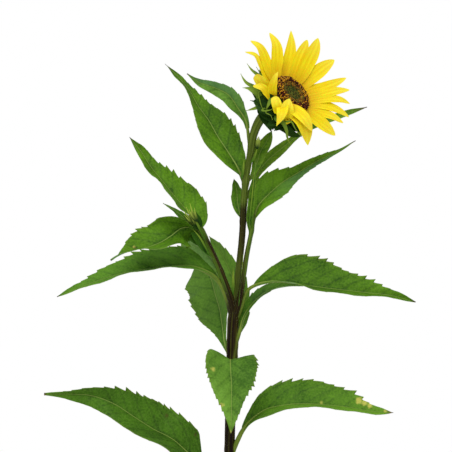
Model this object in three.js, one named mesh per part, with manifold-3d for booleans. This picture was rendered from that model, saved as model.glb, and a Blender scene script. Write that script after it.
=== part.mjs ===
// A branching sunflower plant: a hairy main stem with a root flare, two side shoots, opposite
// and alternate leaves on long stalks, and one open flower head on a bent neck.
// Millimetres, +Z up. The origin is the flat cut of the main stem at ground level.
// Azimuths turn from +X (0 degrees) to +Y (90 degrees), and elevations rise from level.

import * as THREE from 'three';
import { mergeVertices } from 'three/addons/utils/BufferGeometryUtils.js';
import Module from 'manifold-3d';

const wasm = await Module();
wasm.setup();

// ---- Driving dimensions ----

const GAP = 0.3; // clearance between touching solids

const STEM_SIDES = 10;
const STEM_STEPS = 22;
const ROOT_FLARE = 4; // extra radius at the ground
const ROOT_FLARE_HEIGHT = 12;
const STEM_LINE = [
  [0, 0, 0], [0, 0, 100], [0, 0, 207], [2.5, 0, 300], [4.2, 0, 355], [8.5, 0, 396], [13.5, 0, 440],
  [16, 0, 484], [18.5, 0, 510], [23, 0, 536], [27, -1, 558], [36, -4, 575], [52, -10, 586],
];
const STEM_RADII = [[0, 7], [200, 5.6], [345, 5.9], [398, 3.4], [530, 3.3], [560, 4.2], [578, 5.4]];

const SHOOT_SIDES = 8;
const SHOOT_STEPS = 10;
const LEFT_SHOOT_LINE = [[4, 0, 355], [1, -5, 376], [-10, -9, 406], [-22.5, -12, 434], [-36, -16, 461]];
const LEFT_SHOOT_RADII = [[355, 3.6], [400, 3.4], [460, 2.6]];
const RIGHT_SHOOT_LINE = [
  [5, -1, 352], [11, -6, 374], [15, -7, 398], [19, -7, 424], [24.5, -7, 452], [26, -7, 468],
];
const RIGHT_SHOOT_RADII = [[352, 3], [400, 2.7], [468, 2.2]];

const LEAF_THICKNESS = 0.9;
const LEAF_RIB = 1.4; // extra thickness under the midrib near the base
const LEAF_ACROSS = 4;
const LEAF_ALONG = 9;
const STALK_MOST = 2.2; // radius of the thickest leaf stalk
const STALK_TAPER = 0.7; // share of its radius that a stalk and midrib lose towards the tip
const BLADE_LEAST = 0.5; // half width that a blade keeps at its tip
const NARROW_LEAF = 24; // width under which a blade has half the strips across

// The flower head: its rim centre, the way it faces, and the direction on it that angles start from.
const HEAD_CENTRE = new THREE.Vector3(66.5, -24, 598);
const HEAD_AXIS = new THREE.Vector3(0.607, -0.588, 0.534).normalize();
const HEAD_START = new THREE.Vector3(0.66, 0, -0.75);
const DISC_RADIUS = 22.4;
const DISC_HEIGHT = 5.5;
const DISC_SEAT = 4; // how deep the disc sits in its cup
const CUP_RADIUS = 25.2;
const CUP_DEPTH = 26;
const CUP_NECK = 5.5;
const HEAD_SIDES = 20;
const RAY_THICKNESS = 0.8;
const RAY_FOOT_RADIUS = 24; // where the ray florets stand, round the disc
const RAY_WIDEST = 0.55; // where a ray is widest, as a share of its length
const RAY_FOLD = 8;
const BRACT_WIDTH = 8;
const BRACT_FOLD = 10;
const BUD_POINT_WIDTH = 3.2;
const BRACT_FOOT = [15, -12]; // radius and height of the bracts' feet, inside the cup's wall

const SHOOT_BUD = {
  centre: [-41.5, -18.6, 467], lean: [190, 50], radius: 4.2, length: 15, points: 8, spread: 26, pointLength: 17,
};
const NECK_BUD = { centre: [31.8, -3, 547], lean: [30, 76], radius: 2.3, length: 13 };

const GREEN = 0x47801f;
const DARK_GREEN = 0x2c5a17;
const PALE_GREEN = 0x5f9a35;
const STEM_BROWN = 0x3a2a1c;
const SHOOT_OLIVE = 0x5b6a1e;
const RAY_YELLOW = 0xf2d51b;
const DISC_BROWN = 0x4a1a12;
const CUP_GREEN = 0x1d4416;

// ---- Leaves: where each leaves its limb, where its tip is, and how its blade lies ----
// at: height of its foot on the limb. out / in: azimuth, elevation and pull of the midrib at
// its foot and at its tip. stalk: share of the length that is bare. faces / tipFaces: azimuth
// and elevation that the upper side looks to. fold: how far each half lifts off flat.

const MAIN_LEAVES = [
  { name: 'leaf_upper_left', at: 500, out: [150, 62, 52], tip: [-71, 60, 637], in: [155, 45, 45],
    stalk: 0.06, width: 51, widest: 0.36, tipPower: 1.8,
    faces: [-58, 20], tipFaces: [-20, 34], fold: 16, color: GREEN },
  { name: 'leaf_upper_inner', at: 536, out: [130, 82, 50], tip: [-47, 12, 621], in: [175, 20, 40],
    stalk: 0.2, width: 27, widest: 0.4, faces: [-100, 42], fold: 25, color: PALE_GREEN },
  { name: 'leaf_small_back', at: 458, out: [135, 60, 16], tip: [8, 26, 514], in: [90, 80, 20],
    stalk: 0.1, width: 15, widest: 0.4, faces: [-70, 20], fold: 12, color: GREEN },
  { name: 'leaf_neck_narrow', at: 500, out: [45, 74, 25], tip: [50, 16, 572], in: [30, 55, 20],
    stalk: 0.12, width: 13, widest: 0.5, faces: [-60, 20], fold: 14, color: GREEN },
  { name: 'leaf_right_long', at: 478, out: [40, 70, 45], tip: [155, 62, 588], in: [0, 10, 60],
    stalk: 0.15, width: 26, widest: 0.35, faces: [-100, 60], fold: 34, color: GREEN },
  { name: 'leaf_left_arching', at: 352, out: [200, 68, 92], tip: [-188, -40, 377], in: [185, -28, 90],
    stalk: 0.2, width: 52, widest: 0.3, faces: [-90, 65], fold: 25, color: DARK_GREEN },
  { name: 'leaf_right_arching', at: 338, out: [-10, 80, 70], tip: [205, -35, 371], in: [-5, -15, 110],
    stalk: 0.25, width: 74, widest: 0.34, basePower: 1.3, faces: [-90, 58], fold: 32, color: GREEN },
  { name: 'leaf_right_behind', at: 316, out: [30, 80, 80], tip: [132, 62, 394], in: [10, -5, 60],
    stalk: 0.25, width: 44, widest: 0.3, faces: [-90, 76], fold: 16, color: DARK_GREEN },
  { name: 'leaf_back_left', at: 302, out: [105, 74, 69], tip: [-48, 118, 390], in: [125, -45, 50],
    stalk: 0.06, width: 66, widest: 0.42, faces: [-80, 30], tipFaces: [-80, 80], fold: 12,
    color: PALE_GREEN },
  { name: 'leaf_back_rising', at: 316, out: [55, 60, 40], tip: [-24, 40, 444], in: [150, 62, 50],
    stalk: 0.1, width: 52, widest: 0.42, faces: [-55, 15], fold: 14, color: GREEN },
  { name: 'leaf_front', at: 303, out: [-90, 35, 26], tip: [0.5, -82, 236], in: [-90, -62, 40],
    stalk: 0.12, width: 62, widest: 0.16, basePower: 0.5, tipPower: 1.1,
    faces: [-90, 30], fold: 26, color: PALE_GREEN },
  { name: 'leaf_lower_left', at: 178, out: [195, 62, 45], tip: [-204, -30, 270], in: [185, 5, 60],
    stalk: 0.16, width: 66, widest: 0.42, faces: [-90, 55], fold: 18, color: GREEN },
  { name: 'leaf_lower_right', at: 198, out: [-15, 74, 85], tip: [177, -35, 252], in: [-5, -14, 90],
    stalk: 0.18, width: 70, widest: 0.36, faces: [-90, 59], fold: 22, color: GREEN },
  { name: 'leaf_foot_front', at: 96, out: [-65, 45, 40], tip: [75, -140, 88], in: [-60, -35, 50],
    stalk: 0.2, width: 62, widest: 0.35, faces: [-60, 80], fold: 12, color: GREEN },
  { name: 'leaf_foot_back', at: 108, out: [115, 45, 40], tip: [-80, 145, 98], in: [120, -35, 50],
    stalk: 0.2, width: 62, widest: 0.35, faces: [120, 80], fold: 12, color: GREEN },
];

const LEFT_SHOOT_LEAVES = [
  { name: 'leaf_shoot_rising', at: 448, out: [98, 40, 36], tip: [-110, 36, 553], in: [160, 56, 40],
    stalk: 0.03, width: 48, widest: 0.33, basePower: 0.9, faces: [-52, 29], fold: 27, color: GREEN },
  { name: 'leaf_shoot_drooping', at: 444, out: [195, 36, 26], tip: [-131, -62, 418], in: [195, -22, 45],
    stalk: 0.06, width: 52, widest: 0.42, basePower: 1.2, faces: [-105, 30], tipFaces: [-90, 52], fold: 22,
    color: GREEN },
  { name: 'leaf_shoot_low', at: 408, out: [150, 66, 26], tip: [-52, 22, 436], in: [170, -25, 18],
    stalk: 0.2, width: 28, widest: 0.4, faces: [-110, 55], fold: 28, color: PALE_GREEN },
  { name: 'leaf_shoot_bract', at: 452, out: [215, 12, 14], tip: [-73, -34, 480], in: [170, 38, 20],
    stalk: 0.05, width: 7, widest: 0.35, faces: [-90, 40], fold: 14, color: PALE_GREEN },
];

const RIGHT_SHOOT_LEAVES = [
  { name: 'leaf_right_rising', at: 460, out: [30, 58, 42], tip: [139, 42, 549], in: [15, 28, 50],
    stalk: 0.1, width: 39, widest: 0.32, faces: [-115, 30], fold: 22, color: GREEN },
  { name: 'leaf_right_sliver', at: 456, out: [-60, 80, 20], tip: [25, -11, 524], in: [90, 88, 20],
    stalk: 0.05, width: 7, widest: 0.4, faces: [-90, 10], fold: 20, color: PALE_GREEN },
];

// ---- Ray florets: angle of the foot round the head, lift off its plane at the foot and at the
// tip, how far the floret's heading swings from its own angle there, length and width ----

const RAYS = [
  { angle: 5, lift: [11, 3], swing: [0, 0], length: 44, width: 14 },
  { angle: 19, lift: [18, 17], swing: [0, 0], length: 46, width: 9 },
  { angle: 30, lift: [28, 10], swing: [0, 0], length: 48, width: 9 },
  { angle: 40, lift: [30, 27], swing: [0, 0], length: 49, width: 9 },
  { angle: 52, lift: [37, 35], swing: [0, 0], length: 50, width: 10 },
  { angle: 66, lift: [34, 31], swing: [0, 0], length: 53, width: 9 },
  { angle: 86, lift: [39, 34], swing: [0, 4], length: 52, width: 15 },
  { angle: 106, lift: [38, 35], swing: [5, 9], length: 59, width: 13 },
  { angle: 121, lift: [31, 28], swing: [0, 0], length: 52, width: 11 },
  { angle: 138, lift: [25, 19], swing: [-5, -10], length: 54, width: 12 },
  { angle: 168, lift: [22, 12], swing: [-14, -22], length: 53, width: 14 },
  { angle: 180, lift: [10, 0], swing: [-16, 4], length: 52, width: 10 },
  { angle: 192, lift: [4, -14], swing: [-34, 28], length: 46, width: 6 },
  { angle: 206, lift: [34, -66], swing: [0, 0], length: 38, width: 11 },
  { angle: 221, lift: [44, -86], swing: [0, 0], length: 43, width: 11 },
  { angle: 239, lift: [64, 46], swing: [-46, -54], length: 28, width: 8 },
  { angle: 252, lift: [58, -78], swing: [14, 14], length: 31, width: 10 },
  { angle: 264, lift: [78, -40], swing: [24, 40], length: 28, width: 10 },
  { angle: 281, lift: [28, -60], swing: [6, 8], length: 37, width: 12 },
  { angle: 299, lift: [50, -24], swing: [18, 24], length: 33, width: 9 },
  { angle: 316, lift: [34, -52], swing: [22, 28], length: 46, width: 14 },
];

// ---- Bracts behind the head: angle round it, slope off its plane, length ----

const BRACTS = [
  [178, 6, 35], [185, 1, 43], [192, -14, 41], [201, -4, 31], [211, -20, 34], [225, -32, 26],
  [238, -50, 31], [256, -30, 24], [272, -46, 26], [290, -30, 24], [308, -46, 28], [324, -26, 36],
  [339, -4, 27], [352, 5, 35], [14, -20, 32], [38, -34, 30], [62, -20, 32], [86, -34, 30],
  [110, -20, 32], [134, -34, 30], [158, -22, 32],
];

// ---- Small helpers ----

function direction(azimuth, elevation) {
  const turn = THREE.MathUtils.degToRad(azimuth);
  const rise = THREE.MathUtils.degToRad(elevation);
  const level = Math.cos(rise);
  return new THREE.Vector3(level * Math.cos(turn), level * Math.sin(turn), Math.sin(rise));
}

// Straight-line reading of a table of [height, value] pairs.
function readTable(table, height) {
  const next = table.findIndex(([level]) => level >= height);
  if (next === -1) return table.at(-1)[1];
  if (next === 0) return table[0][1];
  const [low, lowValue] = table[next - 1];
  const [high, highValue] = table[next];
  return THREE.MathUtils.mapLinear(height, low, high, lowValue, highValue);
}

function smoothLine(points) {
  return new THREE.CatmullRomCurve3(points.map((point) => new THREE.Vector3(...point)));
}

// The point of a rising line at a given height, by halving.
function pointAtHeight(line, height) {
  let low = 0;
  let high = 1;
  for (let halving = 0; halving < 30; halving++) {
    const middle = (low + high) / 2;
    if (line.getPoint(middle).z < height) low = middle;
    else high = middle;
  }
  return line.getPoint(low);
}

// Only the vertex positions, with shared corners merged, so that the surface is closed.
function closedPositions(geometry) {
  geometry.deleteAttribute('normal');
  geometry.deleteAttribute('uv');
  return mergeVertices(geometry, 1e-4);
}

// Moves every vertex of a closed geometry through a function of its position.
function reshape(geometry, place) {
  const closed = closedPositions(geometry);
  const position = closed.attributes.position;
  const vertex = new THREE.Vector3();
  for (let index = 0; index < position.count; index++) {
    vertex.fromBufferAttribute(position, index);
    position.setXYZ(index, ...place(vertex).toArray());
  }
  return closed;
}

function toSolid(geometry) {
  const vertProperties = new Float32Array(geometry.attributes.position.array);
  const triVerts = new Uint32Array(geometry.index.array);
  return new wasm.Manifold(new wasm.Mesh({ numProp: 3, vertProperties, triVerts }));
}

function toGeometry(solid) {
  const mesh = solid.getMesh();
  const geometry = new THREE.BufferGeometry();
  geometry.setAttribute('position', new THREE.BufferAttribute(mesh.vertProperties, 3));
  geometry.setIndex(new THREE.BufferAttribute(mesh.triVerts, 1));
  return geometry;
}

// Takes the cutters away, and drops any crumb that a cut leaves beside the main body.
function carve(solid, cutters) {
  const bodies = cutters.reduce((rest, cutter) => rest.subtract(cutter), solid).decompose();
  bodies.sort((one, other) => other.volume() - one.volume());
  return toGeometry(bodies[0]);
}

function finish(name, geometry, color, roughness = 0.6) {
  const flat = geometry.toNonIndexed();
  flat.computeVertexNormals();
  const mesh = new THREE.Mesh(flat, new THREE.MeshStandardMaterial({ color, roughness, metalness: 0 }));
  mesh.name = name;
  return mesh;
}

// ---- Limbs: a cylinder bent along a line, with a radius that follows its height ----

function limbGeometry(line, radii, sides, steps, flare, grow) {
  const reference = new THREE.Vector3(1, 0, 0);
  return reshape(new THREE.CylinderGeometry(1, 1, 1, sides, steps), (vertex) => {
    const share = vertex.y + 0.5;
    const centre = line.getPointAt(share);
    const along = share === 0 ? new THREE.Vector3(0, 0, 1) : line.getTangentAt(share);
    const across = reference.clone().addScaledVector(along, -reference.dot(along)).normalize();
    const third = new THREE.Vector3().crossVectors(across, along);
    const radius = readTable(radii, centre.z) + flare * Math.exp(-centre.z / ROOT_FLARE_HEIGHT) + grow;
    return centre.addScaledVector(across, vertex.x * radius).addScaledVector(third, vertex.z * radius);
  });
}

// ---- Blades: leaves, ray florets and bracts are one thin board bent along a midrib ----

// Share of the full width at a share of the blade's length.
function bladeShape(share, widest, basePower, tipPower) {
  const quarter = Math.PI / 2;
  if (share <= 0) return 0;
  if (share < widest) return Math.sin(quarter * share / widest) ** basePower;
  return Math.max(Math.cos(quarter * (share - widest) / (1 - widest)), 0) ** tipPower;
}

function bladeGeometry(blade) {
  const { midrib, stalk, stalkRadius, width, widest, basePower, tipPower } = blade;
  const { face, tipFace, fold, thickness, rib, across, along } = blade;
  const lift = THREE.MathUtils.degToRad(fold);
  return reshape(new THREE.BoxGeometry(1, 1, 1, across, 1, along), (vertex) => {
    const share = vertex.z + 0.5;
    const side = vertex.x * 2;
    const centre = midrib.getPoint(share);
    const tangent = midrib.getTangent(share);
    const looks = face.clone().lerp(tipFace, share);
    const normal = looks.addScaledVector(tangent, -looks.dot(tangent)).normalize();
    const sideways = new THREE.Vector3().crossVectors(normal, tangent);

    const bladeShare = (share - stalk) / (1 - stalk);
    const half = width / 2 * bladeShape(bladeShare, widest, basePower, tipPower);
    const stalkHere = stalkRadius * (1 - STALK_TAPER * share);
    const reach = Math.max(half, stalkHere, BLADE_LEAST);
    const flatness = THREE.MathUtils.smoothstep(half, stalkHere * 0.8, stalkHere * 3);
    const round = 2 * stalkHere * Math.sqrt(1 - 0.8 * side * side); // depth where it is a stalk
    const flat = thickness + rib * (1 - share) * Math.max(0, 1 - 2 * Math.abs(side));
    const depth = THREE.MathUtils.lerp(round, flat, flatness);
    const rise = Math.abs(side) * reach * Math.sin(lift) * flatness;
    const out = side * reach * THREE.MathUtils.lerp(1, Math.cos(lift), flatness);
    const up = rise + Math.sign(vertex.y) * depth / 2;
    return centre.addScaledVector(sideways, out).addScaledVector(normal, up);
  });
}

function leafMidrib(foot, leaf) {
  const [outAzimuth, outElevation, outPull] = leaf.out;
  const [inAzimuth, inElevation, inPull] = leaf.in;
  const tip = new THREE.Vector3(...leaf.tip);
  const first = foot.clone().addScaledVector(direction(outAzimuth, outElevation), outPull);
  const second = tip.clone().addScaledVector(direction(inAzimuth, inElevation), -inPull);
  return new THREE.CubicBezierCurve3(foot, first, second, tip);
}

function leafMesh(leaf, limb, cutters) {
  const stalkRadius = Math.min(STALK_MOST, leaf.width / 12 + 0.7);
  const geometry = bladeGeometry({
    midrib: leafMidrib(pointAtHeight(limb, leaf.at), leaf),
    stalk: leaf.stalk,
    stalkRadius,
    width: leaf.width,
    widest: leaf.widest,
    basePower: leaf.basePower ?? 1.1,
    tipPower: leaf.tipPower ?? 1.5,
    face: direction(...leaf.faces),
    tipFace: direction(...(leaf.tipFaces ?? leaf.faces)),
    fold: leaf.fold,
    thickness: LEAF_THICKNESS,
    rib: LEAF_RIB,
    across: leaf.width < NARROW_LEAF ? LEAF_ACROSS / 2 : LEAF_ACROSS,
    along: LEAF_ALONG,
  });
  return finish(leaf.name, carve(toSolid(geometry), cutters), leaf.color);
}

// ---- Flower head ----

const headSide = new THREE.Vector3().crossVectors(HEAD_AXIS, HEAD_START).normalize();

// The way out from the head's axis at an angle, lifted off its plane.
function headDirection(angle, lift) {
  const turn = THREE.MathUtils.degToRad(angle);
  const rise = THREE.MathUtils.degToRad(lift);
  return new THREE.Vector3()
    .addScaledVector(HEAD_START, Math.cos(turn) * Math.cos(rise))
    .addScaledVector(headSide, Math.sin(turn) * Math.cos(rise))
    .addScaledVector(HEAD_AXIS, Math.sin(rise));
}

function headPoint(angle, radius, height) {
  const outward = headDirection(angle, 0).multiplyScalar(radius);
  return HEAD_CENTRE.clone().add(outward).addScaledVector(HEAD_AXIS, height);
}

// A lathe about +Y, turned so that its axis is the head's.
function headLathe(profile) {
  const points = profile.map(([radius, height]) => new THREE.Vector2(radius, height));
  const turn = new THREE.Quaternion().setFromUnitVectors(new THREE.Vector3(0, 1, 0), HEAD_AXIS);
  const closed = closedPositions(new THREE.LatheGeometry(points, HEAD_SIDES));
  return closed.applyQuaternion(turn).translate(...HEAD_CENTRE.toArray());
}

function strapMidrib(foot, angle, lift, length, swing) {
  const third = length / 3;
  const points = [foot];
  for (const share of [0, 0.5, 1]) {
    const slope = THREE.MathUtils.lerp(lift[0], lift[1], share);
    const heading = angle + THREE.MathUtils.lerp(swing[0], swing[1], share);
    points.push(points.at(-1).clone().addScaledVector(headDirection(heading, slope), third));
  }
  return new THREE.CubicBezierCurve3(...points);
}

function rayMesh(ray, index) {
  const geometry = bladeGeometry({
    midrib: strapMidrib(headPoint(ray.angle, RAY_FOOT_RADIUS, 0), ray.angle, ray.lift, ray.length, ray.swing),
    stalk: 0,
    stalkRadius: RAY_THICKNESS,
    width: ray.width,
    widest: RAY_WIDEST,
    basePower: 0.8,
    tipPower: 0.75,
    face: headDirection(ray.angle + ray.swing[0], ray.lift[0] + 90),
    tipFace: headDirection(ray.angle + ray.swing[1], ray.lift[1] + 90),
    fold: RAY_FOLD,
    thickness: RAY_THICKNESS,
    rib: 0,
    across: 2,
    along: 6,
  });
  return finish(`ray_${String(index + 1).padStart(2, '0')}`, geometry, RAY_YELLOW);
}

function cupGeometry() {
  const rim = -RAY_THICKNESS - GAP;
  return headLathe([
    [0, -CUP_DEPTH], [CUP_NECK, -CUP_DEPTH], [CUP_RADIUS * 0.5, -CUP_DEPTH * 0.72],
    [CUP_RADIUS * 0.85, -CUP_DEPTH * 0.4], [CUP_RADIUS, rim], [DISC_RADIUS + GAP, rim],
    [DISC_RADIUS + GAP, -DISC_SEAT - GAP], [0, -DISC_SEAT - GAP],
  ]);
}

function involucreMesh() {
  let solid = toSolid(cupGeometry());
  for (const [angle, slope, length] of BRACTS) {
    const bract = bladeGeometry({
      midrib: strapMidrib(headPoint(angle, ...BRACT_FOOT), angle, [slope, slope], length, [0, 0]),
      stalk: 0,
      stalkRadius: RAY_THICKNESS,
      width: BRACT_WIDTH,
      widest: 0.35,
      basePower: 0.6,
      tipPower: 1.2,
      face: HEAD_AXIS,
      tipFace: HEAD_AXIS,
      fold: BRACT_FOLD,
      thickness: RAY_THICKNESS,
      rib: 0,
      across: 2,
      along: 3,
    });
    solid = solid.add(toSolid(bract));
  }
  return finish('involucre', toGeometry(solid), CUP_GREEN);
}

function discMesh() {
  const geometry = headLathe([
    [0, -DISC_SEAT], [DISC_RADIUS, -DISC_SEAT], [DISC_RADIUS, 1], [DISC_RADIUS * 0.9, DISC_HEIGHT * 0.8],
    [DISC_RADIUS * 0.7, DISC_HEIGHT], [DISC_RADIUS * 0.4, DISC_HEIGHT * 0.8], [0, DISC_HEIGHT * 0.7],
  ]);
  return finish('disc', geometry, DISC_BROWN, 0.9);
}

// ---- Buds: a long ball, with a few pointed bracts round it where it is about to open ----

function budSolid({ centre, lean, radius, length }) {
  const ball = closedPositions(new THREE.SphereGeometry(1, 8, 6)).scale(radius, length / 2, radius);
  const turn = new THREE.Quaternion().setFromUnitVectors(new THREE.Vector3(0, 1, 0), direction(...lean));
  return toSolid(ball.applyQuaternion(turn).translate(...centre));
}

function shootBudMesh(bud, cutters) {
  const axis = direction(...bud.lean);
  const foot = new THREE.Vector3(...bud.centre).addScaledVector(axis, -bud.length / 3);
  let solid = budSolid(bud);
  for (let index = 0; index < bud.points; index++) {
    const [azimuth, elevation] = bud.lean;
    const turn = index * 2 * Math.PI / bud.points;
    const heading = direction(azimuth + bud.spread * Math.cos(turn), elevation + bud.spread * Math.sin(turn));
    const tip = foot.clone().addScaledVector(heading, bud.pointLength);
    const middle = foot.clone().lerp(tip, 0.5).addScaledVector(heading.clone().sub(axis), bud.radius);
    const point = bladeGeometry({
      midrib: new THREE.QuadraticBezierCurve3(foot, middle, tip),
      stalk: 0,
      stalkRadius: RAY_THICKNESS,
      width: BUD_POINT_WIDTH,
      widest: 0.4,
      basePower: 0.6,
      tipPower: 1.2,
      face: axis,
      tipFace: axis,
      fold: 0,
      thickness: RAY_THICKNESS,
      rib: 0,
      across: 2,
      along: 3,
    });
    solid = solid.add(toSolid(point));
  }
  return finish('shoot_bud', carve(solid, cutters), PALE_GREEN);
}

// ---- Assembly ----

const plant = new THREE.Group();

const stemLine = smoothLine(STEM_LINE);
const leftLine = smoothLine(LEFT_SHOOT_LINE);
const rightLine = smoothLine(RIGHT_SHOOT_LINE);

const stemShape = (grow) => limbGeometry(stemLine, STEM_RADII, STEM_SIDES, STEM_STEPS, ROOT_FLARE, grow);
const leftShape = (grow) => limbGeometry(leftLine, LEFT_SHOOT_RADII, SHOOT_SIDES, SHOOT_STEPS, 0, grow);
const rightShape = (grow) => limbGeometry(rightLine, RIGHT_SHOOT_RADII, SHOOT_SIDES, SHOOT_STEPS, 0, grow);

const cutStem = toSolid(stemShape(GAP));
const cutLeft = toSolid(leftShape(GAP));
const cutRight = toSolid(rightShape(GAP));
const cutCup = toSolid(cupGeometry());

plant.add(finish('main_stem', carve(toSolid(stemShape(0)), [cutCup]), STEM_BROWN));
plant.add(finish('left_shoot', carve(toSolid(leftShape(0)), [cutStem]), SHOOT_OLIVE));
plant.add(finish('right_shoot', carve(toSolid(rightShape(0)), [cutStem]), SHOOT_OLIVE));

const limbCutters = [cutStem, cutLeft, cutRight];
for (const leaf of MAIN_LEAVES) plant.add(leafMesh(leaf, stemLine, limbCutters));
for (const leaf of LEFT_SHOOT_LEAVES) plant.add(leafMesh(leaf, leftLine, limbCutters));
for (const leaf of RIGHT_SHOOT_LEAVES) plant.add(leafMesh(leaf, rightLine, limbCutters));
plant.add(shootBudMesh(SHOOT_BUD, limbCutters));
plant.add(finish('neck_bud', carve(budSolid(NECK_BUD), [cutStem]), PALE_GREEN));

plant.add(involucreMesh());
plant.add(discMesh());
RAYS.forEach((ray, index) => plant.add(rayMesh(ray, index)));

export default plant;
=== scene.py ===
# %% [markdown]
# # A sunflower plant, leaf by leaf
# The plant is a young branching sunflower: one hairy main stem with a bent neck, two side
# shoots, toothed leaves that fold along their midribs, and one open flower head.
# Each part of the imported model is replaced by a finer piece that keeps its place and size.

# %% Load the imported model
import math

import bmesh
import bpy
import numpy as np
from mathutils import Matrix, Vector


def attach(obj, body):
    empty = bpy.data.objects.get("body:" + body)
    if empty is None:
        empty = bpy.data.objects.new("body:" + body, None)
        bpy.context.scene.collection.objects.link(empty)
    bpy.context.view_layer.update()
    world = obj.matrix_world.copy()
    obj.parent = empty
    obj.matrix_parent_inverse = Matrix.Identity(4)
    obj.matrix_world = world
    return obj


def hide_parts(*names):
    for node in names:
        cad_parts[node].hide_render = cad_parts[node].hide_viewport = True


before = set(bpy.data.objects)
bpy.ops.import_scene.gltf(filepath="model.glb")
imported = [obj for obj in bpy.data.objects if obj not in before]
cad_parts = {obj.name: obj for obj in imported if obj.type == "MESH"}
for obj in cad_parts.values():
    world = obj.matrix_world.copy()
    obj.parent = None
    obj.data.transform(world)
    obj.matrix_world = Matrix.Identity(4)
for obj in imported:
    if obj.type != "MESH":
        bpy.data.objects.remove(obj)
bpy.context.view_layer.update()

MM = 0.001

# %% [markdown]
# ## Camera
# The plant is seen from eye level, across the stem, so the camera is level and stands two metres
# away. A long lens from there keeps near and far leaves at nearly one scale. A close wide lens
# would also fit the frame, but it would swell the leaves that point at the viewer.

# %% Camera
CAMERA_PLACE = (-3.85, -2000.0, 455.4)  # mm
SEEN_WIDTH = 497.2  # mm of the stem's plane that the frame holds
SENSOR = 36.0  # mm, a full frame sensor

camera_data = bpy.data.cameras.new("camera")
camera_data.sensor_width = SENSOR
camera_data.lens = SENSOR * -CAMERA_PLACE[1] / SEEN_WIDTH
camera = bpy.data.objects.new("camera", camera_data)
camera.location = Vector(CAMERA_PLACE) * MM
camera.rotation_euler = (math.radians(90), 0, 0)
bpy.context.scene.collection.objects.link(camera)
bpy.context.scene.camera = camera
bpy.context.scene.view_settings.view_transform = "Standard"
print("lens", round(camera_data.lens, 1), "mm")

# %% [markdown]
# ## Light and floor
# A studio sweep is lit from all round, so the world is a soft white light. It shows as plain
# white to the camera and lights a little less strongly than it shows. One large lamp above and
# in front gives the leaves a light side and a dark side.

# %% A small helper for nodes, and one for colours
def linear(code):
    """A colour written as sRGB hex, as the linear colour that shaders work in."""
    parts = [int(code[i:i + 2], 16) / 255 for i in (1, 3, 5)]
    return (*[c / 12.92 if c <= 0.04045 else ((c + 0.055) / 1.055) ** 2.4 for c in parts], 1.0)


def add(tree, kind, inputs=None, **settings):
    """Adds a node. Each input is given a value, or the output of another node to link."""
    node = tree.nodes.new("ShaderNode" + kind)
    for name, value in settings.items():
        setattr(node, name, value)
    for name, value in (inputs or {}).items():
        if isinstance(value, bpy.types.NodeSocket):
            tree.links.new(value, node.inputs[name])
        else:
            node.inputs[name].default_value = value
    return node


# %% World and lamps
FILL_LIGHT = 0.52
KEY_PLACE = (-250, -1300, 2200)  # mm
KEY_SIZE = 2400  # mm across
KEY_POWER = 46.0  # watts

world = bpy.data.worlds.new("studio")
bpy.context.scene.world = world
world.use_nodes = True
tree = world.node_tree
tree.nodes.clear()
fill = add(tree, "Background", {"Color": linear("#ffffff"), "Strength": FILL_LIGHT})
seen = add(tree, "Background", {"Color": linear("#ffffff"), "Strength": 1.0})
rays = add(tree, "LightPath")
either = add(tree, "MixShader",
             {0: rays.outputs["Is Camera Ray"], 1: fill.outputs[0], 2: seen.outputs[0]})
add(tree, "OutputWorld", {"Surface": either.outputs[0]})


def add_lamp(name, place, size, power, aim=(0, 0, 400)):
    """A soft square lamp that looks at the middle of the plant."""
    data = bpy.data.lights.new(name, "AREA")
    data.size = size * MM
    data.energy = power
    lamp = bpy.data.objects.new(name, data)
    lamp.location = Vector(place) * MM
    lamp.rotation_euler = (Vector(aim) - Vector(place)).to_track_quat("-Z", "Y").to_euler()
    bpy.context.scene.collection.objects.link(lamp)


add_lamp("key_lamp", KEY_PLACE, KEY_SIZE, KEY_POWER)
print("key lamp", KEY_SIZE, "mm across,", KEY_POWER, "W")

# %% Floor
FLOOR_RADIUS = 1.5  # metres

bm = bmesh.new()
bmesh.ops.create_circle(bm, cap_ends=True, segments=96, radius=FLOOR_RADIUS)
floor_mesh = bpy.data.meshes.new("floor")
bm.to_mesh(floor_mesh)
bm.free()
floor = bpy.data.objects.new("floor", floor_mesh)
bpy.context.scene.collection.objects.link(floor)
# Uncoated paper is matt: it takes a soft shadow and shows no picture of the lamp.
paper = bpy.data.materials.new("uncoated white paper")
paper.use_nodes = True
paper.node_tree.nodes["Principled BSDF"].inputs["Base Color"].default_value = linear("#e8e8e6")
paper.node_tree.nodes["Principled BSDF"].inputs["Roughness"].default_value = 0.9
floor_mesh.materials.append(paper)
print("floor", 2 * FLOOR_RADIUS, "m across")

# %% [markdown]
# ## Lines, directions and small sums
# Everything on a plant grows along a line: stems bend slowly, midribs arch and droop. So each
# piece is a straight blank that is bent along its own line. The sums are done on whole arrays of
# points at once, in millimetres, and only the finished points are turned into metres.

# %% Directions and lines
def direction(azimuth, elevation):
    """A unit arrow. The azimuth turns from +X to +Y, and the elevation rises from level."""
    turn, rise = math.radians(azimuth), math.radians(elevation)
    return np.array([math.cos(rise) * math.cos(turn), math.cos(rise) * math.sin(turn),
                     math.sin(rise)])


def unit(arrows):
    """Arrows of length 1."""
    return arrows / np.linalg.norm(arrows, axis=-1, keepdims=True)


def smoothstep(low, high, value):
    """0 below low, 1 above high, and an even curve between them."""
    share = np.clip((value - low) / (high - low), 0, 1)
    return share * share * (3 - 2 * share)


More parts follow.
